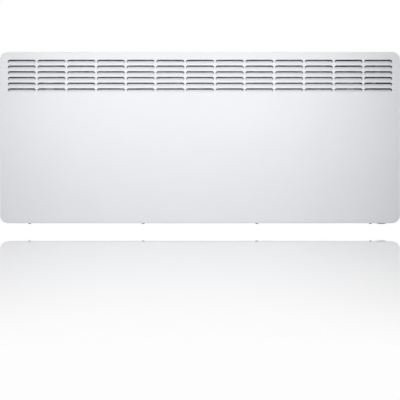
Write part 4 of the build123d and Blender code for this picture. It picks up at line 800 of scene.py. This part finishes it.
def axial(place, length, radius):
    """A body that lies in front of the board, with a raised band at each end."""
    x, z = place
    waist = radius * AXIAL_WAIST_R
    tip = waist * AXIAL_TIP_R
    half = [(tip, 0.0), (radius, AXIAL_SLOPE), (radius, AXIAL_BAND_END), (waist, AXIAL_WAIST)]
    mirrored = [(r, 1.0 - position) for r, position in reversed(half)]
    profile = [(r, position * length) for r, position in half + mirrored]
    return turned(profile), lying_spot(x - length / 2, z, AXIAL_LIFT)


def lead(length, spot):
    return turned([(LEAD_R, 0), (LEAD_R, length)], LEAD_STEPS), spot


def axial_leads(place, length):
    """Leads beyond both ends, and their drop to the board."""
    x, z = place
    parts = []
    for side in (-1, 1):
        end = x + side * (length / 2 + LEAD_BEND)
        parts.append(lead(LEAD_L, lying_spot(min(end, end - side * LEAD_L), z, AXIAL_LIFT)))
        parts.append(lead(AXIAL_LIFT + LEAD_ROOT, board_spot((end, z), -LEAD_ROOT)))
    return parts


def banded(name, ground, bands, pitch):
    """A small lacquered body with coloured rings across its length."""
    look = Look(name, ground, roughness=0.3)
    rings = look.add("TexWave", bands_direction="X")
    rings.inputs["Scale"].default_value = 1.0 / pitch
    look.join(look.place, rings.inputs["Vector"])
    edges = (0.0, bands), (0.16, bands), (0.2, ground), (1.0, ground)
    look.tint(look.colours(rings.outputs["Fac"], *edges))
    look.rough(look.remap(look.noise(0.001), low=0.25, high=0.4))
    look.bump(look.noise(0.0008), distance=0.00001, strength=0.4)
    return look


def board_axials():
    """Resistors and diodes with their leads."""
    tan = banded("resistor_lacquer", (0.5, 0.36, 0.2), (0.16, 0.06, 0.03), pitch=0.0085)
    bodies = [axial(place, RESISTOR_L, RESISTOR_R) for place in RESISTORS]
    piece("board_resistors", bodies, tan, "heater", smooth=True)
    bodies = [axial(place, DIODE_L, DIODE_R) for place in DIODES]
    piece("board_diodes", bodies, LOOKS["relay_black"], "heater", smooth=True)
    leads = []
    for places, length in ((RESISTORS, RESISTOR_L), (DIODES, DIODE_L)):
        for place in places:
            leads += axial_leads(place, length)
    piece("board_leads", leads, LOOKS["zinc_plated"], "heater", smooth=True)


def board_capacitors():
    """The upright electrolytic with its bright lid, and the surge disc."""
    spot = board_spot(CAN_PLACE)
    sleeve = [(turned(in_mm(CAN_PROFILE)), spot)]
    piece("board_electrolytic", sleeve, LOOKS["wire_black"], "heater", smooth=True)
    lid = [(turned(in_mm(LID_PROFILE)), spot)]
    piece("board_can_lid", lid, LOOKS["bright_aluminium"], "heater")
    blue = moulded("surge_disc", (0.03, 0.1, 0.3), roughness=0.35, grain=0.0008)
    coin = [(turned(in_mm(DISC_PROFILE)), lying_spot(*DISC_PLACE, DISC_LIFT))]
    piece("board_surge_disc", coin, blue, "heater", smooth=True)


def board_chip():
    """The controller chip on its two rows of pins."""
    outline = [bar(-CHIP_HALF_L, CHIP_HALF_L, -CHIP_HALF_W, CHIP_HALF_W)]
    chip = [(extruded(outline, CHIP_T), board_spot(CHIP_PLACE, CHIP_LIFT))]
    piece("board_chip", chip, LOOKS["relay_black"], "heater", bevel=CHIP_EDGE)
    pins = []
    for k in range(PIN_ROW):
        x = (k - (PIN_ROW - 1) / 2) * PIN_PITCH
        for side in (-1, 1):
            outer = side * PIN_REACH
            inner = outer - side * PIN_L
            pins.append(bar(x - PIN_HALF_W, x + PIN_HALF_W, min(outer, inner), max(outer, inner)))
    feet = [(extruded(pins, PIN_H), board_spot(CHIP_PLACE))]
    piece("board_chip_pins", feet, LOOKS["zinc_plated"], "heater")


# Push-on sleeves where the wires meet the tabs

SLEEVE_WIDE = 3.3 * MM
SLEEVE_THIN = 2.5 * MM
SLEEVE_L = 16.0 * MM
SLEEVE_START = 1.0 * MM
WIRE_SLIP_R = 1.75 * MM
TAB_OUT = 5.0 * MM
TAB_IN = 2.4 * MM
TAB_TO_WIRE = -1.8 * MM

# Along a sleeve: (position, fullness), where fullness 1 covers the tab and 0 hugs the wire
SLEEVE_SHAPE = (0.0, 0.95), (0.04, 1.0), (0.45, 1.0), (0.62, 0.8), (0.8, 0.0), (0.97, 0.0), (1.0, -0.04)


def sleeve(start, side):
    """A soft boot that covers a tab and narrows round its wire, above the tab."""
    lean = TAB_TO_WIRE / 2
    thick = SLEEVE_THIN + abs(lean) / 2
    sections = []
    for position, fullness in SLEEVE_SHAPE:
        wide = WIRE_SLIP_R + (SLEEVE_WIDE - WIRE_SLIP_R) * fullness
        thin = WIRE_SLIP_R + (thick - WIRE_SLIP_R) * fullness
        centre = lean + (1 - max(fullness, 0.0)) * lean
        sections.append(((0.0, centre, position * SLEEVE_L), wide, thin))
    return lofted(sections), frame_at(start, (0, side, 0), (-side, 0, 0))


def wire_sleeves():
    """The two sleeves on the mains switch's rear tabs."""
    boots = moulded("sleeve_nylon", (0.62, 0.6, 0.54), roughness=0.4, grain=0.0006)
    low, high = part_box("switch_terminals")
    tabs = middle("switch_terminals")
    made = []
    for side in (-1, 1):
        start = (tabs.x + side * TAB_OUT, high.y - TAB_IN, low.z + SLEEVE_START)
        made.append(sleeve(start, side))
    piece("switch_sleeves", made, boots, "heater", smooth=True)


def trim():
    """Every piece that the scene adds to the solids."""
    ink = moulded("white_ink", (0.75, 0.75, 0.74), roughness=0.5, grain=0.0003, depth=0.000005)
    button_marks(ink)
    rocker_marks(ink)
    display_figures()
    board_axials()
    board_capacitors()
    board_chip()
    wire_sleeves()


# Stage


FLOOR_Z = -0.249
FLOOR_HALF = 30.0
PALE = (0.9, 0.9, 0.9)
PANEL_Y = -0.1

# The camera's height, the width that the picture spans at the panel's front, and the lens in millimetres
CAMERA_Z = -0.164
PHOTO_WIDTH = 1.0505
SENSOR = 36.0
LENS = 180.0

# The even fill, and the soft box in front of the panel
FILL = 0.415
KEY_PLACE = (-0.05, -1.04, 0.58)
KEY_TARGET = (-0.06, PANEL_Y, 0.12)
KEY_SIZE = (1.13, 0.69)
KEY_WATTS = 1.5
KEY_BEAM = 51.0

# The mirror image starts at one Fresnel share and is full at the other; a white veil lies under it
FLOOR_IOR = 1.15
MIRROR_FROM = 0.55
MIRROR_FULL = 0.97
MIRROR_ROUGHNESS = 0.02
VEIL = 0.97


def seen_itself(tree):
    """1 for rays that show the surface, straight or mirrored, and 0 for those that it lights."""
    paths = tree.nodes.new("ShaderNodeLightPath")
    seen = paths.outputs["Is Camera Ray"]
    for ray in ("Is Glossy Ray", "Is Transmission Ray"):
        either = tree.nodes.new("ShaderNodeMath")
        either.operation = "MAXIMUM"
        tree.links.new(seen, either.inputs[0])
        tree.links.new(paths.outputs[ray], either.inputs[1])
        seen = either.outputs[0]
    return seen


def glossy_floor():
    """White floor with a faint mirror image that fades as the view steepens."""
    look = Look("pale_floor", PALE, roughness=0.6)
    look.tint(look.colours(look.noise(0.4, detail=2.0), *spread(PALE, 0.004)))
    white = look.add("Emission")
    veil = look.add("MixShader")
    veiled = look.remap(seen_itself(look.tree), low=0.0, high=VEIL, from_low=0.0, from_high=1.0)
    look.join(veiled, veil.inputs["Fac"])
    look.join(look.shader.outputs["BSDF"], veil.inputs[1])
    look.join(white.outputs["Emission"], veil.inputs[2])
    mirror = look.add("BsdfGlossy")
    mirror.inputs["Color"].default_value = WHITE
    mirror.inputs["Roughness"].default_value = MIRROR_ROUGHNESS
    fresnel = look.add("Fresnel")
    fresnel.inputs["IOR"].default_value = FLOOR_IOR
    blend = look.add("MixShader")
    grazing = fresnel.outputs["Fac"]
    fade = look.remap(grazing, low=0.0, high=1.0, from_low=MIRROR_FROM, from_high=MIRROR_FULL)
    look.join(fade, blend.inputs["Fac"])
    look.join(veil.outputs["Shader"], blend.inputs[1])
    look.join(mirror.outputs["BSDF"], blend.inputs[2])
    output = look.tree.nodes["Material Output"]
    look.join(blend.outputs["Shader"], output.inputs["Surface"])
    return look.material


def floor():
    """The pale floor, part of the stage."""
    mesh = bpy.data.meshes.new("floor")
    square = bar(-FLOOR_HALF, FLOOR_HALF, -FLOOR_HALF, FLOOR_HALF)
    mesh.from_pydata([(x, y, FLOOR_Z) for x, y in square], [], [(0, 1, 2, 3)])
    plane = bpy.data.objects.new("floor", mesh)
    plane.data.materials.append(glossy_floor())
    bpy.context.scene.collection.objects.link(plane)


def world(fill):
    """White to the camera and in reflections, and a soft even fill on surfaces."""
    sky = bpy.data.worlds.new("studio")
    sky.use_nodes = True
    tree = sky.node_tree
    background = tree.nodes["Background"]
    level = tree.nodes.new("ShaderNodeMapRange")
    level.inputs["To Min"].default_value = fill
    level.inputs["To Max"].default_value = 1.0
    tree.links.new(seen_itself(tree), level.inputs["Value"])
    background.inputs["Color"].default_value = WHITE
    tree.links.new(level.outputs["Result"], background.inputs["Strength"])
    bpy.context.scene.world = sky


def soft_light(name, place, target, size, watts, beam_degrees):
    """A rectangular soft box at `place` that shines towards `target`."""
    data = bpy.data.lights.new(name, "AREA")
    data.shape = "RECTANGLE"
    data.size, data.size_y = size
    data.energy = watts
    data.spread = math.radians(beam_degrees)
    lamp = bpy.data.objects.new(name, data)
    lamp.location = place
    lamp.rotation_euler = (Vector(target) - Vector(place)).to_track_quat("-Z", "Y").to_euler()
    lamp.visible_camera = False
    bpy.context.scene.collection.objects.link(lamp)


def camera():
    """Looks along +Y, square to the panel, from as far as the long lens needs."""
    data = bpy.data.cameras.new("camera")
    data.sensor_width = SENSOR
    data.lens = LENS
    shot = bpy.data.objects.new("camera", data)
    shot.location = (0.0, PANEL_Y - PHOTO_WIDTH * LENS / SENSOR, CAMERA_Z)
    shot.rotation_euler = (math.radians(90), 0, 0)
    bpy.context.scene.collection.objects.link(shot)
    bpy.context.scene.camera = shot


dress_nodes()
trim()
floor()
world(FILL)
soft_light("key", KEY_PLACE, KEY_TARGET, KEY_SIZE, KEY_WATTS, KEY_BEAM)
camera()
bpy.context.scene.view_settings.view_transform = "Standard"
